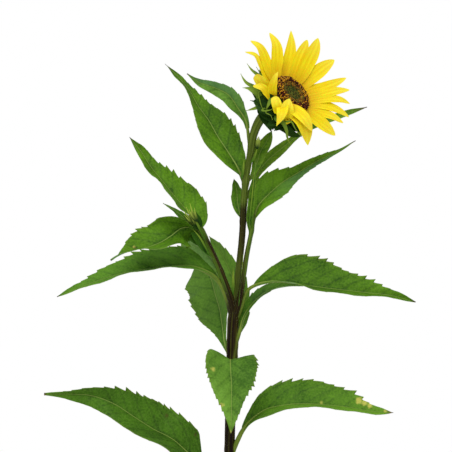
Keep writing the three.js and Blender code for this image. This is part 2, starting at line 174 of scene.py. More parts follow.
def smooth_line(points, steps=16):
    """Many short steps through a few points, as a bent wire would run."""
    knots = np.array(points, float)
    knots = np.vstack([2 * knots[0] - knots[1], knots, 2 * knots[-1] - knots[-2]])
    line = []
    for a, b, c, d in zip(knots, knots[1:], knots[2:], knots[3:]):
        for t in np.arange(steps) / steps:
            line.append(b + (c - a) * t / 2 + (2 * a - 5 * b + 4 * c - d) * t ** 2 / 2
                        + (3 * b - a - 3 * c + d) * t ** 3 / 2)
    return np.array([*line, knots[-2]])


def along_line(line, share):
    """Points and headings of a line at an array of shares of its length."""
    steps = np.diff(line, axis=0)
    reached = np.concatenate([[0], np.cumsum(np.linalg.norm(steps, axis=1))])
    headings = unit(np.gradient(line, axis=0))
    where = np.clip(share, 0, 1) * reached[-1]
    place = np.stack([np.interp(where, reached, line[:, i]) for i in range(3)], axis=1)
    heading = np.stack([np.interp(where, reached, headings[:, i]) for i in range(3)], axis=1)
    return place, unit(heading)


def at_height(line, height):
    """The point of a rising line at a height."""
    return np.array([np.interp(height, line[:, 2], line[:, i]) for i in range(3)])


# %% [markdown]
# ## Blanks
# A leaf or a petal is a thin board, closed all round, so its blank is a flat grid, a copy of it
# one step lower, and a band that joins their rims. A stem or a stalk is a rod, so its blank is a
# cylinder that is cut into many short lengths. Bending a blank is simpler than building each leaf
# from its own faces, and every leaf then has the same clean layout.

# %% Blanks for boards and rods
RIM_SLOT = 1  # material slot of a board's lower side and its rim
RIB_SLOT = 2  # material slot of the rod on a leaf's blank


def add_board(bm, across, along):
    """A closed board from -1 to 1 both ways. Its upper side is at 0 and its lower side at -1."""
    upper = bmesh.ops.create_grid(bm, x_segments=across, y_segments=along, size=1)["verts"]
    shape = [*upper, *{edge for vert in upper for edge in vert.link_edges},
             *{face for vert in upper for face in vert.link_faces}]
    made = bmesh.ops.duplicate(bm, geom=shape)["geom"]
    lower = [item for item in made if isinstance(item, bmesh.types.BMVert)]
    lower_faces = [item for item in made if isinstance(item, bmesh.types.BMFace)]
    bmesh.ops.translate(bm, vec=(0, 0, -1), verts=lower)
    bmesh.ops.reverse_faces(bm, faces=lower_faces)
    rims = [edge for edge in bm.edges if edge.is_boundary]
    for edge in rims:
        edge.smooth = False
    band = bmesh.ops.bridge_loops(bm, edges=rims)["faces"]
    for face in [*lower_faces, *band]:
        face.material_index = RIM_SLOT
    bmesh.ops.recalc_face_normals(bm, faces=bm.faces[:])


def add_rod(bm, sides, steps):
    """A closed rod of radius 1 that runs from -0.5 to 0.5 up."""
    made = bmesh.ops.create_cone(bm, cap_ends=True, segments=sides, radius1=1, radius2=1, depth=1)
    edges = {edge for vert in made["verts"] for edge in vert.link_edges}
    uprights = [edge for edge in edges if abs(edge.verts[0].co.z - edge.verts[1].co.z) > 0.5]
    for edge in edges - set(uprights):
        edge.smooth = False
    bmesh.ops.subdivide_edges(bm, edges=uprights, cuts=steps - 1, use_grid_fill=True)


def blank(name, board=None, rod=None):
    """A mesh to copy and bend. The attribute rod tells the two kinds of point apart."""
    bm = bmesh.new()
    if board:
        add_board(bm, *board)
    flag = bm.verts.layers.float.new("rod")
    if rod:
        before = set(bm.faces)
        add_rod(bm, *rod)
        for face in set(bm.faces) - before:
            face.material_index = RIB_SLOT if board else 0
            for vert in face.verts:
                vert[flag] = 1
    mesh = bpy.data.meshes.new(name)
    bm.to_mesh(mesh)
    bm.free()
    mesh.shade_smooth()
    return mesh


def points_of(mesh):
    """The mesh's points, as rows of three."""
    points = np.empty(len(mesh.vertices) * 3, np.float32)
    mesh.vertices.foreach_get("co", points)
    return points.reshape(-1, 3).astype(float)


def values_of(mesh, name):
    """One attribute of the mesh, a number for each point."""
    values = np.empty(len(mesh.vertices), np.float32)
    mesh.attributes[name].data.foreach_get("value", values)
    return values


def bent(pattern, points, name=None, **attributes):
    """A copy of a blank with new points, in millimetres, and named attributes on its points."""
    mesh = pattern.copy()
    mesh.name = name or pattern.name
    mesh.vertices.foreach_set("co", (points * MM).astype(np.float32).ravel())
    for key, values in attributes.items():
        values = np.asarray(values, np.float32)
        kind, field = ("FLOAT_VECTOR", "vector") if values.ndim == 2 else ("FLOAT", "value")
        layer = mesh.attributes.new(key, kind, "POINT")
        layer.data.foreach_set(field, values.ravel())
    mesh.update()
    return mesh


def joined(name, meshes):
    """One mesh out of several that were bent from the same blank."""
    bm = bmesh.new()
    for mesh in meshes:
        bm.from_mesh(mesh)
        bpy.data.meshes.remove(mesh)
    whole = bpy.data.meshes.new(name)
    bm.to_mesh(whole)
    bm.free()
    return whole


def place_piece(name, mesh, materials, slot, *nodes):
    """Puts a finished mesh on the plant in place of its model nodes."""
    piece = bpy.data.objects.new(name, mesh)
    bpy.context.scene.collection.objects.link(piece)
    for material in materials:
        mesh.materials.append(material)
    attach(piece, "root")
    if nodes:
        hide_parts(*nodes)
    print(name, len(mesh.polygons), "faces")
    return piece


# Squares across and along the board, and sides and steps of the rod.
leaf_blank = blank("leaf", board=(28, 168), rod=(10, 60))
narrow_blank = blank("narrow leaf", board=(12, 80), rod=(8, 40))
strap_blank = blank("strap", board=(22, 44))
for pattern in (leaf_blank, narrow_blank, strap_blank):
    print(pattern.name, len(pattern.polygons), "faces")

# %% [markdown]
# ## Stem and side shoots
# The stem is fibrous and a little angular: shallow ribs run down it, it swells where a leaf
# leaves it, and a ridge runs down from each leaf's foot. All of that is in the radius of the
# rod, which is a sum of small terms of the height and of the angle round the stem. The stem is
# purple brown up to the fork and again below the neck, greener in between, and olive green at the
# neck. The shoots are purple brown with one green side.

# %% Where the three limbs run
# Heights, places and radii are in millimetres. line: points that the limb runs through. radii: its
# radius at some heights. flare: how much wider it is at the ground. ribs: how many run down it.
# purple: how purple brown it is at some heights. green: azimuth of a greener side, how far round it
# reaches in degrees, and how strong it is. green_from: the heights between which that side sets in.
# band: azimuth, at some heights, of a ridge that winds round the limb. sides and steps: how finely
# the limb is cut round and along.
LIMBS = {
    "main": dict(
        node="main_stem",
        line=[(0, 0, 0), (0, 0, 100), (0, 0, 207), (2.5, 0, 300), (4.2, 0, 355), (8.5, 0, 396),
              (13.5, 0, 440), (16, 0, 484), (18.5, 0, 510), (23, 0, 536), (27, -1, 558),
              (36, -4, 575), (52, -10, 586)],
        radii=[(0, 7), (200, 5.6), (345, 5.9), (398, 3.4), (530, 3.5), (560, 4.5), (578, 5.5)],
        purple=[(0, 0.7), (210, 1), (350, 1), (372, 0.9), (380, 0.3), (408, 0.35), (425, 0.75),
                (440, 0.9), (474, 0.9), (482, 0), (600, 0)],
        flare=4, ribs=11,
        green=(255, 6, 0.12), band=[(285, 262), (310, 292), (346, 345)], sides=56, steps=330),
    "left": dict(
        node="left_shoot",
        line=[(4, 0, 355), (1, -5, 376), (-10, -9, 406), (-22.5, -12, 434), (-36, -16, 461)],
        radii=[(355, 3.6), (400, 3.4), (460, 2.6)],
        flare=0, ribs=8, purple=[(355, 1), (438, 1), (447, 0)], green=(222, 48, 1),
        green_from=(374, 398), sides=36, steps=90),
    "right": dict(
        node="right_shoot",
        line=[(5, -1, 352), (11, -6, 374), (15, -7, 398), (19, -7, 424), (24.5, -7, 452), (26, -7, 468)],
        radii=[(352, 3), (400, 2.7), (468, 2.2)],
        flare=0, ribs=8, purple=[(350, 1), (425, 1), (448, 0)], green=(-30, 52, 1),
        green_from=(386, 412), sides=32, steps=90),
}
ROOT_FLARE_HEIGHT = 12  # mm over which the flare dies away
for limb in LIMBS.values():
    limb["path"] = smooth_line(limb["line"])
print({name: round(float(limb["path"][-1][2])) for name, limb in LIMBS.items()}, "mm high")

# %% [markdown]
# ## Leaves: where each one grows
# Each leaf is told by what a botanist would measure: where its foot is, where its midrib runs, how
# wide the blade is at each tenth of its length, and how the blade rolls and folds. Measured widths
# suit leaves better than one formula would, because no two of them taper alike. The teeth, the
# veins and the swelling between the veins are much the same on all of them and follow later.

# %% The leaves
# Lengths are in millimetres and angles in degrees. Right and left are as seen from the foot, with
# the blade's face towards the viewer.
# limb, at: the limb that the leaf grows from, and the height of its foot there.
# rib: points of the midrib beyond the foot. stalk: the bare share of the midrib.
# width: half the blade's width at every tenth of its length.
# turn: how far the blade rolls about its midrib, at equal steps. fold: how far each half folds up.
# looks: azimuth and elevation that the unrolled blade faces.
# lobe: how far the right and left edge reach back past the foot. slim: the share of its width that
# the right half keeps near the foot. thick: how many times the usual thickness the stalk has.
# teeth: depth of the right and left teeth, 1 being usual. gap: length of blade to a tooth.
# tint: its row in TINTS. tone, tip: how much lighter it is all over and towards its tip; on a leaf
# that lies in shade, tone is partly painted light. lit_halves: how much lighter its right and left half
# are, painted light and shade of how each half faces the lamp. painted_sheen: the half, 1 for right and
# -1 for left, that has a painted bluish sheen.
# pale: how strongly the midrib shows. shade: how dark the foot of the stalk is.
# dry: the share at the tip that is brown. spots, burns: yellow and brown patches, each as share
# along, distance across, radius and strength.
LEAVES = [
    dict(name="leaf_upper_left", limb="main", at=500, stalk=0.06, fold=20, tint="mid",
         rib=[(9, 6, 520), (-2, 13, 538), (-13, 21, 555), (-23, 29, 573), (-35, 37, 590),
              (-45, 45, 608), (-58, 53, 624), (-73, 60, 639)],
         width=[0, 13.5, 20, 23.5, 22, 19, 14.5, 10.5, 7, 2.5, 0], turn=[-25, -30, -30, -45, -50, 20],
         teeth=(1.1, 0.2), dry=0.07, tone=0.05, pale=0.5),
    dict(name="leaf_upper_inner", limb="main", at=536, stalk=0.22, fold=25, tint="pale",
         rib=[(21, 2, 553), (18, 4, 571), (9, 6, 586), (-1, 7, 600), (-16, 9, 608), (-33, 11, 614),
              (-47, 12, 624)],
         width=[2.5, 4, 6.5, 9.5, 10, 9.5, 8.5, 7, 5, 2.5, 0], turn=[-5, -20, 5, 15, 0, 30],
         teeth=(1, 0.1), dry=0.05, painted_sheen=1),
    dict(name="leaf_small_back", limb="main", at=458, stalk=0.05, fold=12, tint="mid",
         rib=[(11, 7, 470), (9, 14, 482), (8, 21, 495), (5, 26, 508)],
         width=[0, 1, 3.5, 5.5, 6.5, 7, 7, 6, 4.5, 3, 0], turn=[0, 0, 0, 0, 0, 0]),
    dict(name="leaf_neck_narrow", limb="main", at=500, stalk=0.1, fold=14, tint="lifted_from_head_shade",
         rib=[(25, 3, 511), (30, 6, 524), (34, 9, 537), (41, 12, 549), (47, 16, 561)],
         width=[1.5, 2.5, 3.5, 5, 6.2, 7, 7.4, 7.2, 6, 3.8, 0], turn=[-10, -10, 0, 5, 10, 10],
         teeth=(0, 0)),
    dict(name="leaf_right_long", limb="main", at=478, stalk=0.08, fold=20, tint="lifted_from_head_shade",
         rib=[(26, 8, 501.8), (32.8, 17, 516.4), (43, 27, 529), (55.5, 36, 539.9), (68.1, 44, 550.4),
              (81.9, 51, 560.9), (99.1, 57, 570.2), (125.4, 61, 580.7), (156.1, 62, 590.4)],
         width=[2, 3.4, 6, 7, 6, 3.6, 3.2, 4, 4.2, 3.2, 0], turn=[5, 5, 5, 10, 15, 20],
         teeth=(0.4, 0.4), dry=0.1),
    dict(name="leaf_right_rising", limb="right", at=460, stalk=0.03, fold=24, tint="mid",
         rib=[(32, -1, 478), (45, 5, 492), (59, 12, 504), (75, 19, 514), (91, 25, 524), (108, 31, 533),
              (125, 37, 541), (142, 42, 551)],
         width=[3, 14, 21.5, 21, 15.5, 9.5, 7, 5, 2.8, 1.4, 0], turn=[25, 37, 32, 22, 5, -30],
         teeth=(0.8, 0.9), dry=0.08, spots=[(0.4, -3, 1.6, 0.5)], tone=0.3, tip=0.3, lit_halves=(0.08, 0),
         painted_sheen=1),
    dict(name="leaf_shoot_rising", limb="left", at=448, stalk=0.05, fold=27, tint="mid",
         rib=[(-36, -1, 462), (-49, 9, 475), (-62, 16, 490), (-75, 22, 506), (-88, 27, 522),
              (-99, 32, 539), (-112, 36, 555)],
         width=[2, 15.5, 27, 29, 28, 23, 17, 12, 7.5, 4, 0], turn=[-55, -60, -60, -50, -30, -5],
         teeth=(1.4, 0.1), dry=0.04, tone=0.16),
    dict(name="leaf_shoot_drooping", limb="left", at=444, stalk=0.06, fold=24, tint="mid",
         rib=[(-39, -19, 453), (-52, -26, 453), (-63, -33, 445), (-74, -40, 438), (-87, -46, 433),
              (-101, -52, 430), (-114, -58, 426), (-127, -62, 419)],
         width=[8, 20, 23, 24, 27, 28, 28, 23, 11.5, 4.5, 0], turn=[62, 42, -38, -62, -68, -65],
         lobe=(0, 14), slim=0.1, teeth=(1.2, 0.4), spots=[(0.73, 4, 2.6, 0.7)],
         burns=[(0.73, 3, 1.2, 0.9)], tone=0.1, tip=0.25, lit_halves=(-0.06, -0.06), pale=0.6),
    dict(name="leaf_shoot_low", limb="left", at=404, stalk=0.08, fold=20, tint="lifted_from_leaf_shade",
         rib=[(-21.4, -4, 419.7), (-29.2, 2, 427.9), (-38.1, 8, 433.9), (-47.1, 14, 436.6),
              (-57.2, 20, 438.7)],
         width=[2, 6, 9, 11.5, 12, 12, 11.5, 10, 8.5, 6, 0], turn=[60, 60, 60, 60, 60, 60], tone=0.35),
    dict(name="leaf_left_arching", limb="main", at=352, stalk=0.2, fold=25, tint="lifted_in_shade",
         rib=[(-3, -1, 377), (-15, -7, 399), (-37, -15, 411), (-62, -20, 412), (-88, -26, 409),
              (-113, -31, 405), (-138, -34, 398), (-162, -38, 389), (-186, -40, 379)],
         width=[2.5, 11, 25, 30, 29, 28.5, 23, 15.5, 8.5, 4, 0], turn=[-65, -65, -65, -65, -60, -55],
         thick=1.5, teeth=(1.6, 0.1), tone=0.1, tip=0.35, shade=1),
    dict(name="leaf_back_left", limb="main", at=302, stalk=0.05, fold=21, tint="pale",
         rib=[(-5, 9, 324), (-8, 25, 344), (-11, 43, 362), (-16, 63, 378), (-21, 82, 395),
              (-29, 100, 409), (-39, 121, 420), (-51, 145, 423)],
         width=[0, 5, 14.5, 25.5, 32.5, 35, 37, 38.5, 36, 22, 0], turn=[30, 48, 46, 44, 46, 50],
         lit_halves=(0.12, 0), pale=0.95),
    dict(name="leaf_back_rising", limb="main", at=316, stalk=0.08, fold=20, tint="pale",
         rib=[(8, 11, 334), (10, 18, 353), (9, 22, 373), (5, 26, 392), (-2, 31, 411), (-11, 35, 428),
              (-23, 40, 444)],
         width=[0, 4, 11, 14, 15, 16, 15.5, 13.5, 11.5, 8, 0], turn=[-10, -10, 0, 15, 35, 50],
         teeth=(1.6, 1), tone=0.34),
    dict(name="leaf_right_arching", limb="main", at=338, stalk=0.25, fold=34, tint="mid",
         rib=[(12, 1, 363), (21, -4, 386), (45, -12, 395), (71, -17, 393), (97, -22, 389),
              (123, -26, 386), (150, -29, 383), (176, -33, 380), (201, -35, 373)],
         width=[2.5, 17, 35, 38, 34, 28.5, 23.5, 17, 10.5, 5, 0], turn=[52, 60, 57, 52, 42, 32],
         teeth=(0.1, 1.5), dry=0.03, tone=-0.14, tip=0.5, pale=0.5),
    dict(name="leaf_right_behind", limb="main", at=316, stalk=0.15, fold=20, tint="lifted_in_shade",
         rib=[(10, -3, 335), (15, 0, 355), (26, 9, 371), (41, 29, 382), (59, 39, 387), (79, 49, 389),
              (99, 57, 390), (120, 62, 387)],
         width=[1.5, 5, 9.5, 12, 13, 16, 19, 15, 9.5, 4, 0], turn=[50, 66, 72, 72, 62, 50],
         teeth=(0.2, 1)),
    dict(name="leaf_front", limb="main", at=303, stalk=0.1, fold=22, tint="pale",
         rib=[(1, -19, 310), (1, -35, 301), (2, -49, 286), (2, -62, 270), (2, -72, 254), (1, -82, 236)],
         width=[6, 24.5, 30.5, 31, 28.5, 24.8, 19.5, 13.5, 8.5, 4, 0], turn=[8, 8, 4, 0, 0, 0],
         looks=(-90, 60), lobe=(15, 20), teeth=(0.8, 1.1), gap=6.0, dry=0.02,
         spots=[(0.33, 20, 5, 0.65), (0.7, 10, 4.4, 0.7), (0.975, 0, 3, 0.6)],
         burns=[(0.7, 11.5, 1, 0.9)], tone=-0.08, tip=0.45, lit_halves=(0.15, -0.28), pale=0.4),
    dict(name="leaf_lower_left", limb="main", at=178, stalk=0.15, fold=24, tint="dull",
         rib=[(-22, -3, 191), (-43, -7, 205), (-62, -11, 222), (-84, -14, 234), (-105, -18, 248),
              (-126, -21, 262), (-150, -24, 271), (-175, -27, 273), (-201, -30, 273)],
         width=[2.5, 25.5, 29.5, 33, 32.5, 26.5, 19, 14, 9.5, 4.5, 0],
         turn=[-50, -50, -50, -25, 20, 30], teeth=(1.4, 0.1),
         burns=[(0.13, 20, 1.3, 1), (0.3, 20, 2, 0.8)], tone=0.03, tip=0.3, pale=0.5),
    dict(name="leaf_lower_right", limb="main", at=198, stalk=0.18, fold=30, tint="fair",
         rib=[(8, -2, 218), (19, -6, 238), (38, -11, 254), (60, -16, 260), (83, -21, 262),
              (107, -26, 261), (130, -30, 259), (153, -33, 255), (177, -35, 254)],
         width=[3, 10, 21.5, 30, 32.5, 31, 27, 20, 13, 7.5, 0], turn=[45, 52, 60, 60, 58, 48],
         thick=1.3, teeth=(0.1, 1.5), dry=0.06,
         spots=[(0.55, -1.6, 3.2, 0.75), (0.775, -8.5, 4.4, 0.9), (0.81, -7.6, 4.6, 0.9),
                (0.85, -5.8, 4.2, 0.85), (0.95, -1, 3.4, 0.7), (0.99, 0, 4, 0.8)],
         burns=[(0.12, -20, 2, 0.8), (0.8, -5, 0.9, 0.5), (0.86, -3.4, 0.8, 0.5)], tip=0.35,
         lit_halves=(0.25, -0.03), pale=0.5, shade=0.1),
    dict(name="leaf_shoot_bract", limb="left", at=452, stalk=0.05, fold=14, tint="lifted_in_shade",
         rib=[(-41, -22, 457), (-50, -29, 465), (-60, -33, 473), (-72, -34, 480)],
         width=[3, 4.5, 5, 5, 4.5, 4, 3.4, 2.4, 1.6, 1, 0], turn=[0, 0, 0, 0, 0, 0]),
    dict(name="leaf_foot_front", limb="main", at=96, stalk=0.2, fold=12, tint="mid",
         rib=[(8, -17, 107), (20, -40, 113), (34, -66, 113), (49, -94, 109), (63, -119, 101),
              (75, -140, 88)],
         width=[0, 12.5, 23.5, 30, 30.5, 28.5, 24, 18, 11.5, 5, 0], turn=[0, 0], looks=(-60, 80)),
    dict(name="leaf_foot_back", limb="main", at=108, stalk=0.2, fold=12, tint="mid",
         rib=[(-9, 17, 119), (-22, 41, 124), (-37, 69, 124), (-53, 97, 120), (-68, 124, 111),
              (-80, 145, 98)],
         width=[0, 12.5, 23.5, 30, 30.5, 28.5, 24, 18, 11.5, 5, 0], turn=[0, 0], looks=(120, 80)),
    dict(name="leaf_right_sliver", limb="right", at=446, stalk=0.02, fold=20, tint="mid",
         rib=[(22, -12, 459.8), (22.8, -13, 472.9), (24.3, -13, 487.1), (26, -12, 501.3),
              (27.7, -11, 515.6), (29.3, -10, 529.8)],
         width=[1.5, 3, 3.8, 4, 3.8, 3.4, 2.9, 2.3, 1.7, 1.1, 0], turn=[0, 0], teeth=(0, 0)),
]
print(len(LEAVES), "leaves")

# %% [markdown]
# ## Finish of the leaves
# A sunflower leaf is rough and matt, with a network of pale sunken veins. Its green is uneven
# over a few centimetres. The veins are drawn in the shader from two attributes that the bending
# leaves on each point, the row of side veins and the distance from the midrib, because a mesh
# fine enough to hold a vein less than a millimetre wide would be far too heavy. The same two
# attributes darken the green in a band along each side vein and beside the midrib. That darkening is
# painted shade of the furrows. One half of a few leaves has a painted bluish sheen.

# %% Leaf materials
VEIN_GREEN = "#8da552"
VEIN_HALF_WIDTH = 0.42  # mm
PATCH_SIZE = 24.0  # mm between lighter and darker patches
GRAIN_SIZE = 1.6  # mm between the small bumps of the rough skin, coarser than real so that they show
# Cells in each metre of four more patterns.
VEINS_WANDER = 50.0  # 20 mm, over which a side vein bends
MOTTLE = 420.0  # 2.4 mm, between light and dark spots
VEIN_NET = 300.0  # 3.3 mm, a mesh of the finest veins, coarser than real so that it shows
RAGGED = 240.0  # 4.2 mm, in the edge of a yellow patch
# The darkest and the lightest green of each tint. Three tints are lighter than a leaf's own green, as
# painted light on the leaves that lie in the shade of the head or of other leaves.
TINTS = {"mid": ("#224805", "#5a8814"), "pale": ("#386018", "#6a9732"), "lifted_in_shade": ("#28520e", "#578620"),
         "lifted_from_head_shade": ("#3f6c10", "#7ca426"), "lifted_from_leaf_shade": ("#4c7c2c", "#7ca854"), "dull": ("#204207", "#4f7c1c"),
         "fair": ("#2c5410", "#619022")}


def shader_of(name, roughness, specular=0.5):
    """A new material with nothing but its main shader."""
    material = bpy.data.materials.new(name)
    material.use_nodes = True
    shader = material.node_tree.nodes["Principled BSDF"]
    shader.inputs["Roughness"].default_value = roughness
    shader.inputs["Specular IOR Level"].default_value = specular
    return material, material.node_tree, shader


def leaf_skin(name, dark, light, vein, vein_share, specular):
    """Leaf skin: uneven green, pale veins with painted shade beside them, a painted sheen, yellow and
    brown patches, a rough grain.
    """
    material, tree, shader = shader_of(name, 0.55, specular)
    place = add(tree, "TexCoord").outputs["Object"]
    patches = add(tree, "TexNoise", {"Vector": place, "Scale": 1000 / PATCH_SIZE, "Detail": 4.0})
    spread = add(tree, "MapRange", {0: patches.outputs["Fac"], 1: 0.3, 2: 0.7, 3: 0.26, 4: 0.78})
    row = add(tree, "Attribute", attribute_name="vein")
    bend = add(tree, "TexNoise", {"Vector": place, "Scale": VEINS_WANDER})
    wandering = add(tree, "Math", {0: bend.outputs["Fac"], 1: 0.5, 2: row.outputs["Fac"]},
                    operation="MULTIPLY_ADD")
    gap = add(tree, "Math", {0: wandering.outputs[0], 1: 0.5}, operation="PINGPONG")
    # Painted shade: the green darkens in a band along each side vein, where the blade dips into its
    # furrow.
    vein_furrow_shade = add(tree, "MapRange", {0: gap.outputs[0], 1: 0.0, 2: 0.13, 3: -0.26, 4: 0.05})
    mottle = add(tree, "TexNoise", {"Vector": place, "Scale": MOTTLE, "Detail": 3.0})
    fine = add(tree, "MapRange", {0: mottle.outputs["Fac"], 1: 0.3, 2: 0.7, 3: -0.24, 4: 0.24})
    # The tone attribute holds the leaf's own tone and painted light: halves lighter or darker by how
    # they face the lamp, and leaves in shade lifted.
    tone = add(tree, "Attribute", attribute_name="tone")
    local = add(tree, "Math", {0: fine.outputs[0], 1: tone.outputs["Fac"]}, operation="ADD")
    reach = add(tree, "Attribute", attribute_name="rib")
    # Painted shade on both sides of the midrib.
    midrib_shade = add(tree, "MapRange", {0: reach.outputs["Fac"], 1: 1.5, 2: 7.0, 3: -0.3, 4: 0.0})
    painted_vein_shade = add(tree, "Math", {0: vein_furrow_shade.outputs[0], 1: midrib_shade.outputs[0]}, operation="ADD")
    shifted = add(tree, "Math", {0: painted_vein_shade.outputs[0], 1: local.outputs[0]}, operation="ADD")
    uneven = add(tree, "Math", {0: spread.outputs[0], 1: shifted.outputs[0]}, operation="ADD",
                 use_clamp=True)
    green = add(tree, "Mix", {0: uneven.outputs[0], 6: linear(dark), 7: linear(light)},
                data_type="RGBA")

    # Painted reflection: on one half of a few leaves the green is mixed towards a bluish grey green, a
    # painted sheen.
    painted_sheen = add(tree, "Attribute", attribute_name="painted_sheen")
    painted_sheen_share = add(tree, "Math", {0: painted_sheen.outputs["Fac"], 1: 0.55}, operation="MULTIPLY")
    with_painted_sheen = add(tree, "Mix", {0: painted_sheen_share.outputs[0], 6: green.outputs[2], 7: linear("#5a8a58")},
                 data_type="RGBA")

    side_vein = add(tree, "MapRange", {0: gap.outputs[0], 1: 0.035, 2: 0.01})
    midrib = add(tree, "MapRange", {0: reach.outputs["Fac"], 1: 1.3, 2: 0.8})
    net = add(tree, "TexVoronoi", {"Vector": place, "Scale": VEIN_NET}, feature="DISTANCE_TO_EDGE")
    mesh_vein = add(tree, "MapRange", {0: net.outputs["Distance"], 1: 0.12, 2: 0.0, 4: 0.25})
    side_share = add(tree, "Math", {0: side_vein.outputs[0], 1: 0.2}, operation="MULTIPLY")
    both = add(tree, "Math", {0: side_share.outputs[0], 1: mesh_vein.outputs[0]},
               operation="MAXIMUM")
    veins = add(tree, "Math", {0: both.outputs[0], 1: midrib.outputs[0]}, operation="MAXIMUM")
    faint = add(tree, "Math", {0: both.outputs[0], 1: vein_share}, operation="MULTIPLY")
    strength = add(tree, "Attribute", attribute_name="pale")
    drawn = add(tree, "Math", {0: midrib.outputs[0], 1: strength.outputs["Fac"]}, operation="MULTIPLY")
    pale = add(tree, "Math", {0: faint.outputs[0], 1: drawn.outputs[0]}, operation="MAXIMUM")
    veined = add(tree, "Mix", {0: pale.outputs[0], 6: with_painted_sheen.outputs[2], 7: linear(vein)},
                 data_type="RGBA")

    margin = add(tree, "Attribute", attribute_name="rim")
    margin_share = add(tree, "Math", {0: margin.outputs["Fac"], 1: 0.4}, operation="MULTIPLY")
    rimmed = add(tree, "Mix", {0: margin_share.outputs[0], 6: veined.outputs[2], 7: linear("#83953a")},
                 data_type="RGBA")

    yellow = add(tree, "Attribute", attribute_name="yellow")
    ragged = add(tree, "TexNoise", {"Vector": place, "Scale": RAGGED, "Detail": 3.0})
    edge = add(tree, "Math", {0: ragged.outputs["Fac"], 1: 0.8, 2: -0.4}, operation="MULTIPLY_ADD")
    patchy = add(tree, "Math", {0: yellow.outputs["Fac"], 1: edge.outputs[0]}, operation="ADD")
    yellow_share = add(tree, "MapRange", {0: patchy.outputs[0], 1: 0.38, 2: 0.8, 4: 0.85})
    yellowed = add(tree, "Mix", {0: yellow_share.outputs[0], 6: rimmed.outputs[2], 7: linear("#c8c35c")},
                   data_type="RGBA")
    dry = add(tree, "Attribute", attribute_name="dry")
    dried = add(tree, "Mix", {0: dry.outputs["Fac"], 6: yellowed.outputs[2], 7: linear("#4a3420")},
                data_type="RGBA")
    tree.links.new(dried.outputs[2], shader.inputs["Base Color"])

    grain = add(tree, "TexNoise", {"Vector": place, "Scale": 1000 / GRAIN_SIZE, "Detail": 2.0})
    relief = add(tree, "Math", {0: veins.outputs[0], 1: -0.7, 2: grain.outputs["Fac"]},
                 operation="MULTIPLY_ADD")
    bump = add(tree, "Bump", {"Height": relief.outputs[0], "Strength": 0.35, "Distance": 0.0006})
    tree.links.new(bump.outputs[0], shader.inputs["Normal"])
    return material


# Living leaf skin is rough and unpolished, so it scatters light and shows hardly any highlight. The
# underside is paler than the upper side, and its veins stand out more.
LEAF_SKINS = {tint: (leaf_skin(f"rough leaf skin {tint}", dark, light, VEIN_GREEN, 0.4, 0.08),
                     leaf_skin(f"veined leaf underside {tint}", "#5b8a44", "#7aa85c", "#9db26a",
                               0.6, 0.1))
              for tint, (dark, light) in TINTS.items()}

# %% Stalk and midrib material
# A stalk is fleshy and smooth: a little shinier than the blade, mottled over about 4 mm, dark at its
# foot and paler along the midrib.
STALK_MOTTLE = 250.0  # cells in a metre
rib_skin, tree, shader = shader_of("fleshy leaf stalk and midrib", 0.5, 0.15)
foot_share = add(tree, "Attribute", attribute_name="foot")
place = add(tree, "TexCoord").outputs["Object"]
mottle = add(tree, "TexNoise", {"Vector": place, "Scale": STALK_MOTTLE})
green = add(tree, "Mix", {0: mottle.outputs["Fac"], 6: linear("#5f7a22"), 7: linear("#809236")},
            data_type="RGBA")
pale_share = add(tree, "Attribute", attribute_name="pale")
paler = add(tree, "Mix", {0: pale_share.outputs["Fac"], 6: green.outputs[2], 7: linear(VEIN_GREEN)},
            data_type="RGBA")
stalk_tone = add(tree, "Mix", {0: foot_share.outputs["Fac"], 6: paler.outputs[2], 7: linear("#2b2710")},
                 data_type="RGBA")
tree.links.new(stalk_tone.outputs[2], shader.inputs["Base Color"])
print(len(bpy.data.materials), "materials so far")

# %% [markdown]
# ## Bending a leaf
# The board gets its outline, its teeth and its fold from how far across and along each point
# lies. Each tooth swells slowly towards the tip and then drops back at once, and it leans
# forward. The blade stands up a little between the side veins, and its margin waves.

# %% Sizes that all leaves share
TO_VIEWER = (-90, 0)  # azimuth and elevation
BLADE_THICKNESS = 0.45  # mm
LEAST_HALF_WIDTH = 0.35  # mm, so that the tip stays a closed shape
FULL_WIDTH = 46  # mm; on a narrower leaf the teeth and waves are smaller
TOOTH_SPACING = 10.0  # mm of blade to a tooth
LEAST_TEETH = 4
TOOTH_DEPTH = 3.0  # mm
DEEPEST_TOOTH = 0.17  # of the half width
TOOTH_SWEEP = 1.6  # how slowly a tooth swells before it drops back
VEIN_SPACING = 21.0  # mm
VEIN_SLOPE = 1.05  # how fast a side vein runs forward as it runs out
VEIN_CURVE = 0.012  # and how much faster that gets with each mm
FOLD_ROUNDING = 1.6  # mm; the fold at the midrib isn't a sharp crease
QUILT = 0.75  # mm that the blade swells between two veins
WAVE = 1.3  # mm that the margin waves
BOW = 0.05  # how much each half bends back towards its margin
MIDRIB_END = 0.985  # share of the leaf that the midrib reaches
THICKEST_STALK = 2.4  # mm of radius


def profile(values, share):
    """Reads a smooth curve through values that stand at equal steps of a length."""
    line = smooth_line([(step / (len(values) - 1), value) for step, value in enumerate(values)])
    return np.interp(share, line[:, 0], line[:, 1])


def patches_on(rows, along, out):
    """How strongly each point lies in one of the round patches of a leaf."""
    total = np.zeros(len(along))
    for share, across, radius, strength in rows:
        off = (along - share * along.max()) ** 2 + (out - across) ** 2
        total = np.maximum(total, strength * np.exp(-off / radius ** 2))
    return total


# %% Parts of a leaf's shape
def rolled_midrib(leaf, line, share, blade):
    """Places along the midrib, and the arrows forward, sideways and up from the blade there."""
    centre, heading = along_line(line, share)
    looks = direction(*leaf.get("looks", TO_VIEWER))
    facing = unit(looks - heading * (heading @ looks)[:, None])
    roll = np.radians(profile(leaf["turn"], blade))[:, None]
    upward = facing * np.cos(roll) + np.cross(facing, heading) * np.sin(roll)
    return centre, heading, np.cross(heading, upward), upward


